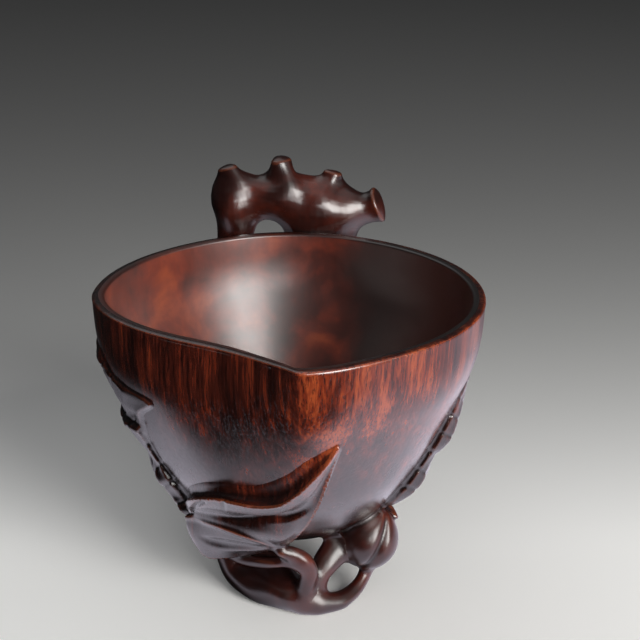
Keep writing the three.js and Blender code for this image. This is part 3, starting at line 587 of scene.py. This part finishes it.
LEAFLET = leaf_rows(
    [(-12, 0.8, 1.46, 0.3), (-15, 0.8, 1.52, 0.5), (-18, 0.8, 1.48, 0.3)],
    [(-12, 0.9, 1.4, 0.3), (-16, 0.9, 1.48, 0.5), (-20, 0.9, 1.44, 0.3)],
    [(-16, 0.965, 1.33, 0.3), (-19, 0.965, 1.4, 0.45), (-21.5, 0.96, 1.4, 0.3)],
    [(-20.8, 1.005, 1.31, 0.25), (-21.4, 1.007, 1.34, 0.3), (-22, 1.005, 1.36, 0.25)],
)

# Grooves in the front and the lower leaf, as (x, y, z, radius) stations

CRESCENT = [
    (*on_wall(-124.5, 0.315, 3.3), 0.35),
    (*on_wall(-129.1, 0.281, 3.4), 0.6),
    (*on_wall(-134.2, 0.236, 3.4), 0.6),
    (*on_wall(-141, 0.178, 3.2), 0.35),
]

NOTCH = [
    (*on_wall(-114.6, 0.345, 3.7), 0.5),
    (*on_wall(-115.2, 0.316, 3.5), 0.45),
    (*on_wall(-116.6, 0.276, 3.2), 0.25),
]

VALLEY = [
    (*on_wall(-121, 0.235, 4.0), 1.15),
    (*on_wall(-109, 0.245, 3.0), 2.0),
    (*on_wall(-100, 0.262, 2.9), 2.2),
    (*on_wall(-91.5, 0.288, 2.8), 2.2),
    (*on_wall(-85, 0.332, 2.6), 2.0),
    (*on_wall(-80, 0.42, 2.4), 1.0),
    (*on_wall(-77, 0.53, 1.8), 0.5),
]

DISH = [
    (*polar(-136, 1.09 * SKIRT_RADIUS, 1.36 * BOWL_BOTTOM), 1.2),
    (*polar(-126, 1.05 * SKIRT_RADIUS, 1.28 * BOWL_BOTTOM), 2.6),
    (*polar(-115, 1.03 * SKIRT_RADIUS, 1.31 * BOWL_BOTTOM), 2.6),
    (*polar(-104, 0.99 * SKIRT_RADIUS, 1.33 * BOWL_BOTTOM), 1.8),
]

# Volumes. Each member becomes a grid of distances to its surface, so that neighbours can be blended by
# fillets and then parted again into pieces that fit each other.


def grid_of(mesh):
    """The distances round a closed mesh."""
    points, quads, triangles = mesh
    return openvdb.FloatGrid.createLevelSetFromPolygons(
        points=points.astype(np.float32),
        triangles=triangles.astype(np.uint32),
        quads=quads.astype(np.uint32),
        transform=openvdb.createLinearTransform(voxelSize=VOXEL),
        exBandWidth=BAND / VOXEL,
        inBandWidth=BAND / VOXEL,
    )


def blend(one, other, reach):
    """The lower of two distances, with a fillet where they are alike."""
    share = np.clip(0.5 + 0.5 * (other - one) / reach, 0, 1)
    return other + (one - other) * share - reach * share * (1 - share)


def unevenness(x, y, z):
    """The lumps on a branch as two crossing sets of waves, in millimetres."""
    total = np.sin(0.41 * x + 0.25 * y + 0.15 * z + 1.0) * np.sin(0.37 * z - 0.23 * x + 2.1)
    total = total + 0.6 * np.sin(0.53 * y - 0.32 * z + 0.3 * x) * np.sin(0.5 * x + 0.41 * z + 0.5)
    return LUMP_HEIGHT * total


class Region:
    """A box of voxels round some points, in which grids are compared."""

    def __init__(self, points):
        self.low = np.floor((points.min(0) - MARGIN) / VOXEL).astype(int)
        self.high = np.ceil((points.max(0) + MARGIN) / VOXEL).astype(int)
        self.shape = tuple(self.high - self.low + 1)
        self.lumps = unevenness(*(self.axis(k) for k in range(3)))

    def meets(self, points):
        """Whether some points come near the box."""
        return np.all(points.min(0) / VOXEL < self.high) and np.all(points.max(0) / VOXEL > self.low)

    def read(self, grid):
        """A grid's values in the box."""
        values = np.empty(self.shape, np.float32)
        grid.copyToArray(values, ijk=tuple(int(v) for v in self.low))
        return values

    def axis(self, k):
        """The voxels' places along an axis, shaped to be compared with the values."""
        shape = [1, 1, 1]
        shape[k] = self.shape[k]
        return ((self.low[k] + np.arange(self.shape[k])) * VOXEL).reshape(shape)

    def surface(self, values):
        """The mesh where the values cross zero."""
        grid = openvdb.FloatGrid(BAND)
        grid.transform = openvdb.createLinearTransform(voxelSize=VOXEL)
        grid.copyFromArray(np.ascontiguousarray(values, np.float32), ijk=tuple(int(v) for v in self.low))
        return grid.convertToPolygons(isovalue=0.0, adaptivity=0.0)

    def sample(self, values, points):
        """The values at some points, from the eight voxels round each."""
        at = points / VOXEL - self.low
        base = np.clip(np.floor(at).astype(int), 0, np.array(self.shape) - 2)
        part = at - base
        total = np.zeros(len(points))
        for corner in np.ndindex(2, 2, 2):
            weight = np.prod(np.where(corner, part, 1 - part), axis=1)
            total += weight * values[tuple((base + corner).T)]
        return total


def bending(values):
    """How sharply a surface bends, per millimetre: above zero on edges and below zero in hollows."""
    total = -6 * values
    for k in range(3):
        total += np.roll(values, BEND_STEP, k) + np.roll(values, -BEND_STEP, k)
    return total / (BEND_STEP * VOXEL) ** 2


def member(parts, cuts=(), fillet=3.0, into_bowl=4.0, uneven=True):
    """A member's parts, the grooves cut into it, and its fillets, with other members and into the bowl."""
    return {
        "points": np.concatenate([part[0] for part in parts]),
        "grids": [grid_of(part) for part in parts],
        "cuts": [grid_of(cut) for cut in cuts],
        "fillet": fillet,
        "into_bowl": into_bowl,
        "uneven": uneven,
    }


def distances(one, region):
    """The distances to a member's surface, its parts blended and its grooves cut."""
    total = None
    for grid in one["grids"]:
        values = region.read(grid)
        total = values if total is None else blend(total, values, OWN_FILLET)
    for grid in one["cuts"]:
        total = -blend(-total, region.read(grid), CUT_FILLET)
    if one["uneven"]:
        total = total + region.lumps
    return total


# Colours. The wood's tones go from the darkest to the palest.

BLACK = (0.0, 0.0, 0.0)
WHITE = (1.0, 1.0, 1.0)
TONES = [
    (0.0, (0.010, 0.0014, 0.0009)),
    (0.3, (0.022, 0.0034, 0.0018)),
    (0.55, (0.066, 0.0092, 0.0042)),
    (0.78, (0.18, 0.0240, 0.0080)),
    (1.0, (0.35, 0.063, 0.016)),
]
WORN_WOOD = (0.36, 0.085, 0.03)
# Painted shade that darkens hollows, fillets and the lip's top
PAINTED_SHADE_COLOUR = (0.004, 0.0012, 0.001)
PAINTED_SHADE_SHARE = 0.7

# How fine each pattern in the wood is, per metre along x, y and z, and how much it counts

PATCHES, PATCH_SHARE = (110, 110, 16), 1.1
BANDS, BAND_SHARE = (380, 380, 32), 1.3
FIBRES, FIBRE_SHARE = (1500, 1500, 70), 1.3
PORES = (2600, 2600, 200)
PORE_DARKNESS = 0.6
CLOUDS = (75, 75, 85)
SMOOTH_FIBRES, SMOOTH_SHARE = (500, 500, 90), 0.15
GRAINED_TONE = 0.14  # the middle tone of grained wood before it is lifted
SMOOTH_TONE = 0.5  # the same of wood that is cut smooth
PAINTED_LIGHT_UP = (0.015, 0.062)  # between which heights the bowl's wood turns paler, in metres: below them painted shade darkens the lower wall
PAINTED_LIGHT_UP_BY = 0.34
PAINTED_LIGHT_RIGHT = (-0.03, 0.025)  # and between which places from left to right it does so even more: painted light from the right
PAINTED_LIGHT_RIGHT_BY = 0.3
INSIDE_PAINTED_SHADE = (0.008, 0.027)  # painted shade: between which places the inside darkens towards the right, where the rim shades it
INSIDE_PAINTED_SHADE_BY = 0.75

# The surface

WOOD_IOR = 1.55
COAT_IOR = 1.7
GLOSS_PATCHES = (220, 220, 120)
GLOSS_SPREAD = 0.08
BUMP_STRENGTH = 0.3
SMOOTH_RELIEF = 0.0001
GRAIN_RELIEF = 0.00022

# Materials


def new_material(name):
    made = bpy.data.materials.new(name)
    made.use_nodes = True
    made.node_tree.nodes.clear()
    return made, Nodes(made.node_tree)


class Nodes:
    """Short ways to add and join shader nodes."""

    def __init__(self, tree):
        self.tree = tree

    def add(self, kind, **settings):
        node = self.tree.nodes.new(kind)
        for key, value in settings.items():
            setattr(node, key, value)
        return node

    def join(self, source, target):
        self.tree.links.new(source, target)

    def put(self, value, socket):
        """Joins an output to a socket, or sets the socket to a number or a colour."""
        if isinstance(value, (int, float)):
            socket.default_value = value
        elif isinstance(value, tuple):
            socket.default_value = (*value, 1.0)
        else:
            self.join(value, socket)

    def noise(self, coordinates, scale, detail=4.0, roughness=0.55, distortion=0.0):
        """Noise of a size per metre along each axis."""
        mapping = self.add("ShaderNodeMapping")
        mapping.inputs["Scale"].default_value = scale
        self.join(coordinates, mapping.inputs["Vector"])
        noise = self.add("ShaderNodeTexNoise")
        noise.inputs["Scale"].default_value = 1.0
        noise.inputs["Detail"].default_value = detail
        noise.inputs["Roughness"].default_value = roughness
        noise.inputs["Distortion"].default_value = distortion
        self.join(mapping.outputs["Vector"], noise.inputs["Vector"])
        return noise.outputs["Fac"]

    def ramp(self, value, stops, smooth=True):
        """Colours or greys by value: (place, colour) stops."""
        ramp = self.add("ShaderNodeValToRGB")
        ramp.color_ramp.interpolation = "EASE" if smooth else "LINEAR"
        elements = ramp.color_ramp.elements
        while len(elements) < len(stops):
            elements.new(0.5)
        for element, (place, colour) in zip(elements, stops):
            element.position = place
            element.color = (*colour, 1.0)
        self.join(value, ramp.inputs["Fac"])
        return ramp.outputs["Color"]

    def mix(self, factor, one, other):
        mixed = self.add("ShaderNodeMix", data_type="RGBA")
        self.put(factor, mixed.inputs[0])
        self.put(one, mixed.inputs[6])
        self.put(other, mixed.inputs[7])
        return mixed.outputs[2]

    def math(self, operation, one, other=0.0):
        node = self.add("ShaderNodeMath", operation=operation)
        self.put(one, node.inputs[0])
        self.put(other, node.inputs[1])
        return node.outputs[0]

    def plus(self, one, other):
        return self.math("ADD", one, other)

    def minus(self, one, other):
        return self.math("SUBTRACT", one, other)

    def times(self, one, other):
        return self.math("MULTIPLY", one, other)

    def over(self, one, other):
        return self.math("DIVIDE", one, other)

    def step(self, value, start, end):
        """A share that rises smoothly from 0 to 1 as a value goes from start to end."""
        rise = self.add("ShaderNodeMapRange", interpolation_type="SMOOTHSTEP")
        rise.inputs["From Min"].default_value = start
        rise.inputs["From Max"].default_value = end
        self.join(value, rise.inputs["Value"])
        return rise.outputs[0]

    def place(self):
        """A point of the object, and its separate x, y and z."""
        point = self.add("ShaderNodeTexCoord").outputs["Object"]
        separate = self.add("ShaderNodeSeparateXYZ")
        self.join(point, separate.inputs[0])
        return point, *separate.outputs


def polish(n, colour, point, gloss, height, relief=SMOOTH_RELIEF, coat=1.0):
    """A waxed surface over a colour, with a faint relief from a height."""
    shader = n.add("ShaderNodeBsdfPrincipled")
    n.join(colour, shader.inputs["Base Color"])
    uneven = n.noise(point, GLOSS_PATCHES, detail=3)
    rough = n.ramp(uneven, [(0.3, (gloss,) * 3), (0.7, (gloss + GLOSS_SPREAD,) * 3)])
    n.join(rough, shader.inputs["Roughness"])
    shader.inputs["IOR"].default_value = WOOD_IOR
    shader.inputs["Coat Weight"].default_value = coat
    shader.inputs["Coat Roughness"].default_value = gloss
    shader.inputs["Coat IOR"].default_value = COAT_IOR
    bump = n.add("ShaderNodeBump")
    bump.inputs["Strength"].default_value = BUMP_STRENGTH
    bump.inputs["Distance"].default_value = relief
    n.join(height, bump.inputs["Height"])
    n.join(bump.outputs["Normal"], shader.inputs["Normal"])
    output = n.add("ShaderNodeOutputMaterial")
    n.join(shader.outputs["BSDF"], output.inputs["Surface"])


def edge_wear_and_shade(n, colour, wear):
    """The colour with edges worn paler and hollows darkened by painted shade, by how the surface bends."""
    bend = n.add("ShaderNodeAttribute", attribute_name="bend").outputs["Fac"]
    tone_marks = n.ramp(bend, [(0.6, BLACK), (1.0, WHITE)], smooth=False)
    # Painted shade where the surface bends inwards, and on the lip's top
    painted_shade = n.ramp(n.times(bend, -1.0), [(0.05, BLACK), (0.6, WHITE)], smooth=False)
    colour = n.mix(n.times(tone_marks, wear), colour, WORN_WOOD)
    return n.mix(n.times(painted_shade, PAINTED_SHADE_SHARE), colour, PAINTED_SHADE_COLOUR)


def grained_wood(name, lift, gloss, wear):
    """Wood with upright grain: bands of fibres broken by fine dark pores, with painted shade low down and
    painted light to the right.
    """
    made, n = new_material(name)
    point, x, _, z = n.place()
    patches = n.noise(point, PATCHES, detail=2, distortion=0.3)
    bands = n.noise(point, BANDS, detail=3, roughness=0.6, distortion=0.15)
    fibres = n.noise(point, FIBRES, detail=4, roughness=0.65)
    pores = n.ramp(n.noise(point, PORES, detail=2), [(0.36, BLACK), (0.44, WHITE)])
    level = n.plus(n.times(patches, PATCH_SHARE), n.times(bands, BAND_SHARE))
    level = n.plus(level, n.times(fibres, FIBRE_SHARE))
    # Painted light and shade: paler upwards, and more so to the right, where the light falls
    painted_light = n.plus(n.times(n.step(x, *PAINTED_LIGHT_RIGHT), PAINTED_LIGHT_RIGHT_BY), PAINTED_LIGHT_UP_BY)
    level = n.plus(level, n.times(n.step(z, *PAINTED_LIGHT_UP), painted_light))
    middle = (PATCH_SHARE + BAND_SHARE + FIBRE_SHARE) / 2
    level = n.plus(level, lift + GRAINED_TONE - middle)
    colour = n.ramp(level, TONES, smooth=False)
    darkest = TONES[0][1]
    colour = n.mix(pores, n.mix(PORE_DARKNESS, colour, darkest), colour)
    polish(n, edge_wear_and_shade(n, colour, wear), point, gloss, n.plus(pores, fibres), relief=GRAIN_RELIEF)
    return made


def blotched_wood(name, lift, gloss, contrast, wear, shaded_span=None, coat=1.0):
    """The same wood where it is cut smooth: soft clouds of dark and orange, and maybe a side darkened by
    painted shade.
    """
    made, n = new_material(name)
    point, x, _, _ = n.place()
    clouds = n.noise(point, CLOUDS, detail=4, roughness=0.55, distortion=0.3)
    fibres = n.noise(point, SMOOTH_FIBRES, detail=3)
    level = n.plus(n.times(clouds, contrast), n.times(fibres, SMOOTH_SHARE))
    middle = (contrast + SMOOTH_SHARE) / 2
    level = n.plus(level, lift + SMOOTH_TONE - middle)
    # Painted shade: one side of the wood is darkened
    if shaded_span:
        level = n.minus(level, n.times(n.step(x, *shaded_span), INSIDE_PAINTED_SHADE_BY))
    colour = n.ramp(level, TONES, smooth=False)
    polish(n, edge_wear_and_shade(n, colour, wear), point, gloss, fibres, coat=coat)
    return made


# Pieces

# Where the bowl's axis stands in the frame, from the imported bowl's own box
bowl_low, bowl_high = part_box("bowl")
PLACE = np.array([(bowl_low.x + bowl_high.x) / 2, bowl_high.y - BACK * MM, 0.0])


def piece_from(node, mesh, bend, material):
    """One dressed piece that stands for a solid. Its bend says how sharply it bends at each point."""
    points, quads, triangles = mesh
    data = bpy.data.meshes.new("carved_" + node)
    faces = [tuple(int(i) for i in face) for face in quads]
    faces += [tuple(int(i) for i in face) for face in triangles]
    data.from_pydata((np.asarray(points) * MM + PLACE).tolist(), [], faces)
    data.shade_smooth()
    data.set_sharp_from_angle(angle=math.radians(CREASE_ANGLE))
    data.attributes.new("bend", "FLOAT", "POINT").data.foreach_set("value", np.asarray(bend, np.float32))
    data.materials.append(material)
    made = bpy.data.objects.new("carved_" + node, data)
    bpy.context.scene.collection.objects.link(made)
    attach(made, "root")
    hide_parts(node)
    return made


HANDLE_GROUP = ("handle_trunk", "handle_cross_branch", "handle_left_leg", "handle_right_fork")
FOOT_GROUP = ("handle_trunk", "foot_front_root", "foot_rear_root", "foot_toe_left", "foot_toe_right",
              "foot_twig_left", "foot_twig_right", "peach", "leaf_lower", "leaf_front", "leaf_left",
              "peach_leaflet")
MIDRIBS = {"leaf_left": (-157, -0.4), "leaf_right": (-9, 0.08)}  # degrees at the bottom, and per mm up


def veins(region, start, lean):
    """How deep a side leaf's veins are cut: a midrib that leans as it climbs, and slanting veins off it."""
    x, y, up = region.axis(0), region.axis(1), region.axis(2) - BOWL_BOTTOM
    turn = np.degrees(np.arctan2(y, x)) - start - lean * up
    across = np.radians((turn + 180) % 360 - 180) * np.hypot(x, y)
    along = (up - VEIN_SLOPE * np.abs(across)) % VEIN_GAP - VEIN_GAP / 2
    midrib = np.exp(-(across / MIDRIB_BREADTH) ** 2)
    slanting = VEIN_SHARE * np.exp(-(along / VEIN_BREADTH) ** 2)
    return VEIN_DEPTH * np.maximum(midrib, slanting) * np.exp(-(across / VEINED_BREADTH) ** 4)


def neighbours(name, members):
    """The members that one is blended with, itself among them, in the order in which they are kept."""
    groups = [group for group in (HANDLE_GROUP, FOOT_GROUP) if name in group]
    return [other for other in members if other == name or any(other in group for group in groups)]


def volume_piece(name, members, bowl_grid, shell, material, slot):
    """A member blended with its neighbours and into the bowl, and parted from them near half way."""
    own = members[name]
    region = Region(own["points"])
    mine = distances(own, region)
    whole = None
    parting = np.full_like(mine, -BAND)
    for other in neighbours(name, members):
        if not region.meets(members[other]["points"]):
            continue
        theirs = mine if other == name else distances(members[other], region)
        whole = theirs if whole is None else blend(whole, theirs, members[other]["fillet"])
        if other != name:
            parting = np.maximum(parting, (mine - theirs) / 2 - OVERLAP)
    if name in MIDRIBS:
        whole = whole + veins(region, *MIDRIBS[name])
    if name in HANDLE_GROUP:
        whole = whole + DRAWN_IN * np.clip(2 * region.axis(2) / RIM_HEIGHT - 1, 0, 1)
    bowl = region.read(bowl_grid)
    below_rim = np.clip((RIM_HEIGHT - RIM_CLEAR - region.axis(2)) / RIM_CLEAR, FADED, 1)
    reach = own["into_bowl"] * below_rim
    parting = np.maximum(parting, whole - reach)
    whole = blend(whole, bowl + RUN_OUT, reach)
    parting = np.maximum(parting, -(bowl + BURIED))
    parting = np.maximum(parting, -region.axis(2))
    points, triangles, quads = region.surface(np.maximum(whole - shell, parting))
    bend = region.sample(bending(whole), points)
    piece_from(name, (points, quads, triangles), bend, material)


def carved_members():
    """Every member that is carved round the bowl."""
    cross = [tube(CROSS, bulge=0.35)] + [tube(stub, bulge=0.4, gnarl=0.12) for stub in STUBS]
    leaf = {"fillet": 1.2, "into_bowl": 1.0, "uneven": False}
    grooves = [tube(CRESCENT, sides=12, gnarl=0), tube(NOTCH, sides=12, gnarl=0), tube(VALLEY, gnarl=0.1)]
    return {
        "peach": member([peach_mesh()], fillet=1.0, into_bowl=1.0, uneven=False),
        "handle_trunk": member([tube(TRUNK)], fillet=5.5),
        "handle_cross_branch": member(cross, fillet=5.5),
        "handle_left_leg": member([tube(LEFT_LEG)], fillet=5.5),
        "handle_right_fork": member([tube(RIGHT_FORK)], fillet=5.5),
        "foot_front_root": member([tube(FRONT_ROOT)]),
        "foot_rear_root": member([tube(REAR_ROOT)]),
        "foot_toe_left": member([tube(TOE_LEFT)]),
        "foot_toe_right": member([tube(TOE_RIGHT)]),
        "foot_twig_left": member([tube(STALK), tube(CREEPER)], fillet=1.5, into_bowl=1.5),
        "foot_twig_right": member([tube(TWIG_RIGHT)], fillet=1.5),
        "leaf_lower": member([leaf_mesh(LOWER_LEAF)], cuts=[tube(DISH, gnarl=0)], **leaf),
        "leaf_front": member([leaf_mesh(FRONT_LEAF, creases=(2,))], cuts=grooves, **leaf),
        "leaf_left": member([leaf_mesh(LEFT_LEAF, creases=(1,))], **leaf),
        "leaf_right": member([leaf_mesh(RIGHT_LEAF, creases=(1,))], **leaf),
        "peach_leaflet": member([leaf_mesh(LEAFLET)], **leaf),
    }


def carve_bowl():
    """The bowl, with grained wood outside and smooth wood inside."""
    # The bowl's bend carries the lip's wear and its painted shade
    shape, tone_marks = bowl_mesh()
    outer_wood = grained_wood("wood_bowl", lift=-0.05, gloss=0.2, wear=0.6)
    # The inside's right is darkened by painted shade
    inner_wood = blotched_wood("wood_inner", lift=0.18, gloss=0.36, contrast=1.5, wear=0.0,
                               shaded_span=INSIDE_PAINTED_SHADE)
    bowl = piece_from("bowl", shape, tone_marks, outer_wood)
    bowl.data.materials.append(inner_wood)
    for face in bowl.data.polygons:
        outward = Vector((face.center.x - PLACE[0], face.center.y - PLACE[1], 0)).dot(face.normal)
        inside = outward < 0 and face.center.z > (BOWL_BOTTOM + FLOOR / 2) * MM
        face.material_index = 1 if inside else 0


def member_woods():
    """Which wood and which slot each member has."""
    branch = blotched_wood("wood_branch", lift=-0.12, gloss=0.27, contrast=1.6, wear=0.2, coat=0.65)
    # Painted shade: the foot and the peach get the branch wood a little darker, with less coat
    root = blotched_wood("wood_root_shaded", lift=-0.16, gloss=0.3, contrast=1.6, wear=0.2, coat=0.45)
    leaf = grained_wood("wood_leaf", lift=0.05, gloss=0.22, wear=0.35)
    # Painted shade: the side leaves get the leaf wood made darker and less worn
    shaded_side_leaf = grained_wood("wood_side_leaf", lift=-0.22, gloss=0.24, wear=0.12)
    return {
        "handle": (branch, "branch"),
        "foot": (root, "branch"),
        "peach": (root, "fruit"),
        "leaf_left": (shaded_side_leaf, "leaf"),
        "leaf_right": (shaded_side_leaf, "leaf"),
        "leaf": (leaf, "leaf"),
        "peach_leaflet": (leaf, "leaf"),
    }


def build_cup():
    """Every piece of the cup."""
    carve_bowl()
    woods = member_woods()
    bowl_grid = grid_of(bowl_envelope())
    members = carved_members()
    for i, name in enumerate(members):
        kind = name if name in woods else name.split("_")[0]
        volume_piece(name, members, bowl_grid, SHELL * i, *woods[kind])


# Stage, in metres

FLOOR_SIZE = 8.0
FLOOR_TINT = (1.0, 1.0, 0.985)
FLOOR_TONES = (0.083, 0.998)  # its darkest and its palest tone as the camera sees it
SHADE_BEHIND = 0.1  # how far behind the cup half of the floor's tone is lost
SHADE_BEFORE = -0.2  # where it starts to fall off before the cup
SHADE_ASIDE = 0.25  # and to both sides
SHADE_BREADTH = 0.16
SHADE_POWER = 1.45
BOUNCE = 0.35  # the floor's grey in the light that it throws back

# In the gloss of the wood the floor glows, a painted reflection: bright but for its front, its far left and a
# painted shadow of the cup and its foot
MIRRORED_TINT = (0.91, 0.86, 1.0)
MIRRORED_DARK = 0.008
MIRRORED_FRONT = (-0.07, -0.044)  # where it brightens from the front, straight before the cup
FRONT_SLANT = 0.38  # how much nearer that line comes to the right
MIRRORED_LEFT = (-0.118, -0.084)  # where it brightens from the left
MIRRORED_RIGHT = (0.07, 0.15)  # where it falls to half on the right
PAINTED_SHADOW_SLANT = 0.6  # the slant of the painted shadow's edge
PAINTED_SHADOW_REACH = 0.045  # how far into the painted shadow half the light is gone
FOOT_MIDDLE = -0.006
FOOT_SIZE = 0.03
FOOT_PAINTED_SHADOW = (0.6, 1.2)  # the foot's painted shadow ends between these squares of its size


def seen_tone(n, x, y):
    """The floor's tone for the camera, which falls off behind the cup, before it and to both sides."""
    away = n.math("MAXIMUM", n.over(y, SHADE_BEHIND), 0.0)
    away = n.math("MAXIMUM", away, n.over(n.minus(SHADE_BEFORE, y), SHADE_BREADTH))
    aside = n.minus(n.math("ABSOLUTE", x), SHADE_ASIDE)
    away = n.math("MAXIMUM", away, n.over(aside, SHADE_BREADTH))
    fall = n.over(1.0, n.plus(n.math("POWER", away, SHADE_POWER), 1.0))
    darkest, palest = FLOOR_TONES
    return n.plus(n.times(fall, palest - darkest), darkest)


def mirrored_share(n, x, y):
    """How bright the floor glows in the gloss of the wood: a painted reflection, with painted shadows of the
    cup and foot.
    """
    front = n.plus(y, n.times(x, FRONT_SLANT))
    lit = n.times(n.step(front, *MIRRORED_FRONT), n.step(x, *MIRRORED_LEFT))
    # A painted shadow of the cup behind it
    painted_shadow = n.math("MAXIMUM", n.minus(y, n.times(x, PAINTED_SHADOW_SLANT)), 0.0)
    painted_shadow = n.math("POWER", n.over(painted_shadow, PAINTED_SHADOW_REACH), 2)
    lit = n.over(lit, n.plus(painted_shadow, 1.0))
    # A painted shadow round the foot
    sideways = n.math("POWER", n.over(n.minus(x, FOOT_MIDDLE), FOOT_SIZE), 2)
    lengthways = n.math("POWER", n.over(y, FOOT_SIZE), 2)
    lit = n.times(lit, n.step(n.plus(sideways, lengthways), *FOOT_PAINTED_SHADOW))
    return n.times(lit, n.minus(1.0, n.times(n.step(x, *MIRRORED_RIGHT), 0.5)))


def pale_floor():
    """A wide pale floor: as the camera sees it, glowing as a painted reflection in the wood's gloss, and grey
    for other light.
    """
    bpy.ops.mesh.primitive_plane_add(size=FLOOR_SIZE, location=(0, 0, 0))
    floor = bpy.context.object
    floor.name = "floor"
    made, n = new_material("floor")
    _, x, y, _ = n.place()
    path = n.add("ShaderNodeLightPath")
    seen = n.mix(seen_tone(n, x, y), BLACK, FLOOR_TINT)
    shader = n.add("ShaderNodeBsdfPrincipled")
    n.join(n.mix(path.outputs["Is Camera Ray"], (BOUNCE,) * 3, seen), shader.inputs["Base Color"])
    shader.inputs["Roughness"].default_value = 0.9
    shader.inputs["Specular IOR Level"].default_value = 0.0
    # Glossy rays see the floor glow: a painted reflection on the wood
    mirrored = n.add("ShaderNodeEmission")
    n.join(n.mix(mirrored_share(n, x, y), (MIRRORED_DARK,) * 3, MIRRORED_TINT), mirrored.inputs["Color"])
    mirrored.inputs["Strength"].default_value = 1.0
    chosen = n.add("ShaderNodeMixShader")
    n.join(path.outputs["Is Glossy Ray"], chosen.inputs[0])
    n.join(shader.outputs["BSDF"], chosen.inputs[1])
    n.join(mirrored.outputs["Emission"], chosen.inputs[2])
    output = n.add("ShaderNodeOutputMaterial")
    n.join(chosen.outputs["Shader"], output.inputs["Surface"])
    floor.data.materials.append(made)


def area_light(name, place, target, size, power, colour=WHITE):
    data = bpy.data.lights.new(name, "AREA")
    data.shape = "RECTANGLE"
    data.size, data.size_y = size
    data.energy = power
    data.color = colour
    lamp = bpy.data.objects.new(name, data)
    lamp.location = place
    lamp.rotation_euler = (Vector(target) - Vector(place)).to_track_quat("-Z", "Y").to_euler()
    bpy.context.scene.collection.objects.link(lamp)


ROOM_COLOUR = (0.95, 0.97, 1.0, 1.0)
ROOM_LIGHT = 0.14
ROOM_HIDDEN = 0.12  # how much less of the room shows in gloss
AIM = (0, 0, 0.05)  # the point that the lights face


def studio():
    """A window to the front right with a narrow key light, three wide weak lights and a dim room."""
    world = bpy.data.worlds.new("world")
    bpy.context.scene.world = world
    world.use_nodes = True
    n = Nodes(world.node_tree)
    background = world.node_tree.nodes["Background"]
    background.inputs["Color"].default_value = ROOM_COLOUR
    glossy = n.add("ShaderNodeLightPath").outputs["Is Glossy Ray"]
    n.join(n.minus(ROOM_LIGHT, n.times(glossy, ROOM_HIDDEN)), background.inputs["Strength"])
    area_light("window", (0.57, -0.69, 0.36), AIM, (0.46, 0.74), 10.5, (1.0, 0.985, 0.96))
    area_light("key", (0.16, -0.9, 0.34), AIM, (0.14, 0.3), 1.0)
    area_light("side_window", (0.95, -0.3, 0.65), AIM, (1.2, 1.0), 0.8)
    area_light("back_fill", (-0.5, 0.8, 1.3), AIM, (1.2, 1.2), 1.6)
    area_light("overhead", (-0.1, 0.0, 1.2), (0, 0, 0), (1.5, 1.5), 2.4)


CAMERA_PLACE = (7.09, -287.33, 173.57)  # in millimetres from the bowl's axis, as the shapes are
CAMERA_DIP = 20.85
CAMERA_LENS = 76.1


def camera():
    """The photograph's viewpoint: about 20 degrees above the rim, from the pouring tip's side."""
    data = bpy.data.cameras.new("camera")
    data.sensor_width = 36.0
    data.lens = CAMERA_LENS
    made = bpy.data.objects.new("camera", data)
    made.location = Vector(PLACE) + Vector(CAMERA_PLACE) * MM
    made.rotation_euler = Euler((math.radians(90 - CAMERA_DIP), 0, 0))
    bpy.context.scene.collection.objects.link(made)
    bpy.context.scene.camera = made


camera()
pale_floor()
studio()
build_cup()
bpy.context.scene.view_settings.view_transform = "Standard"
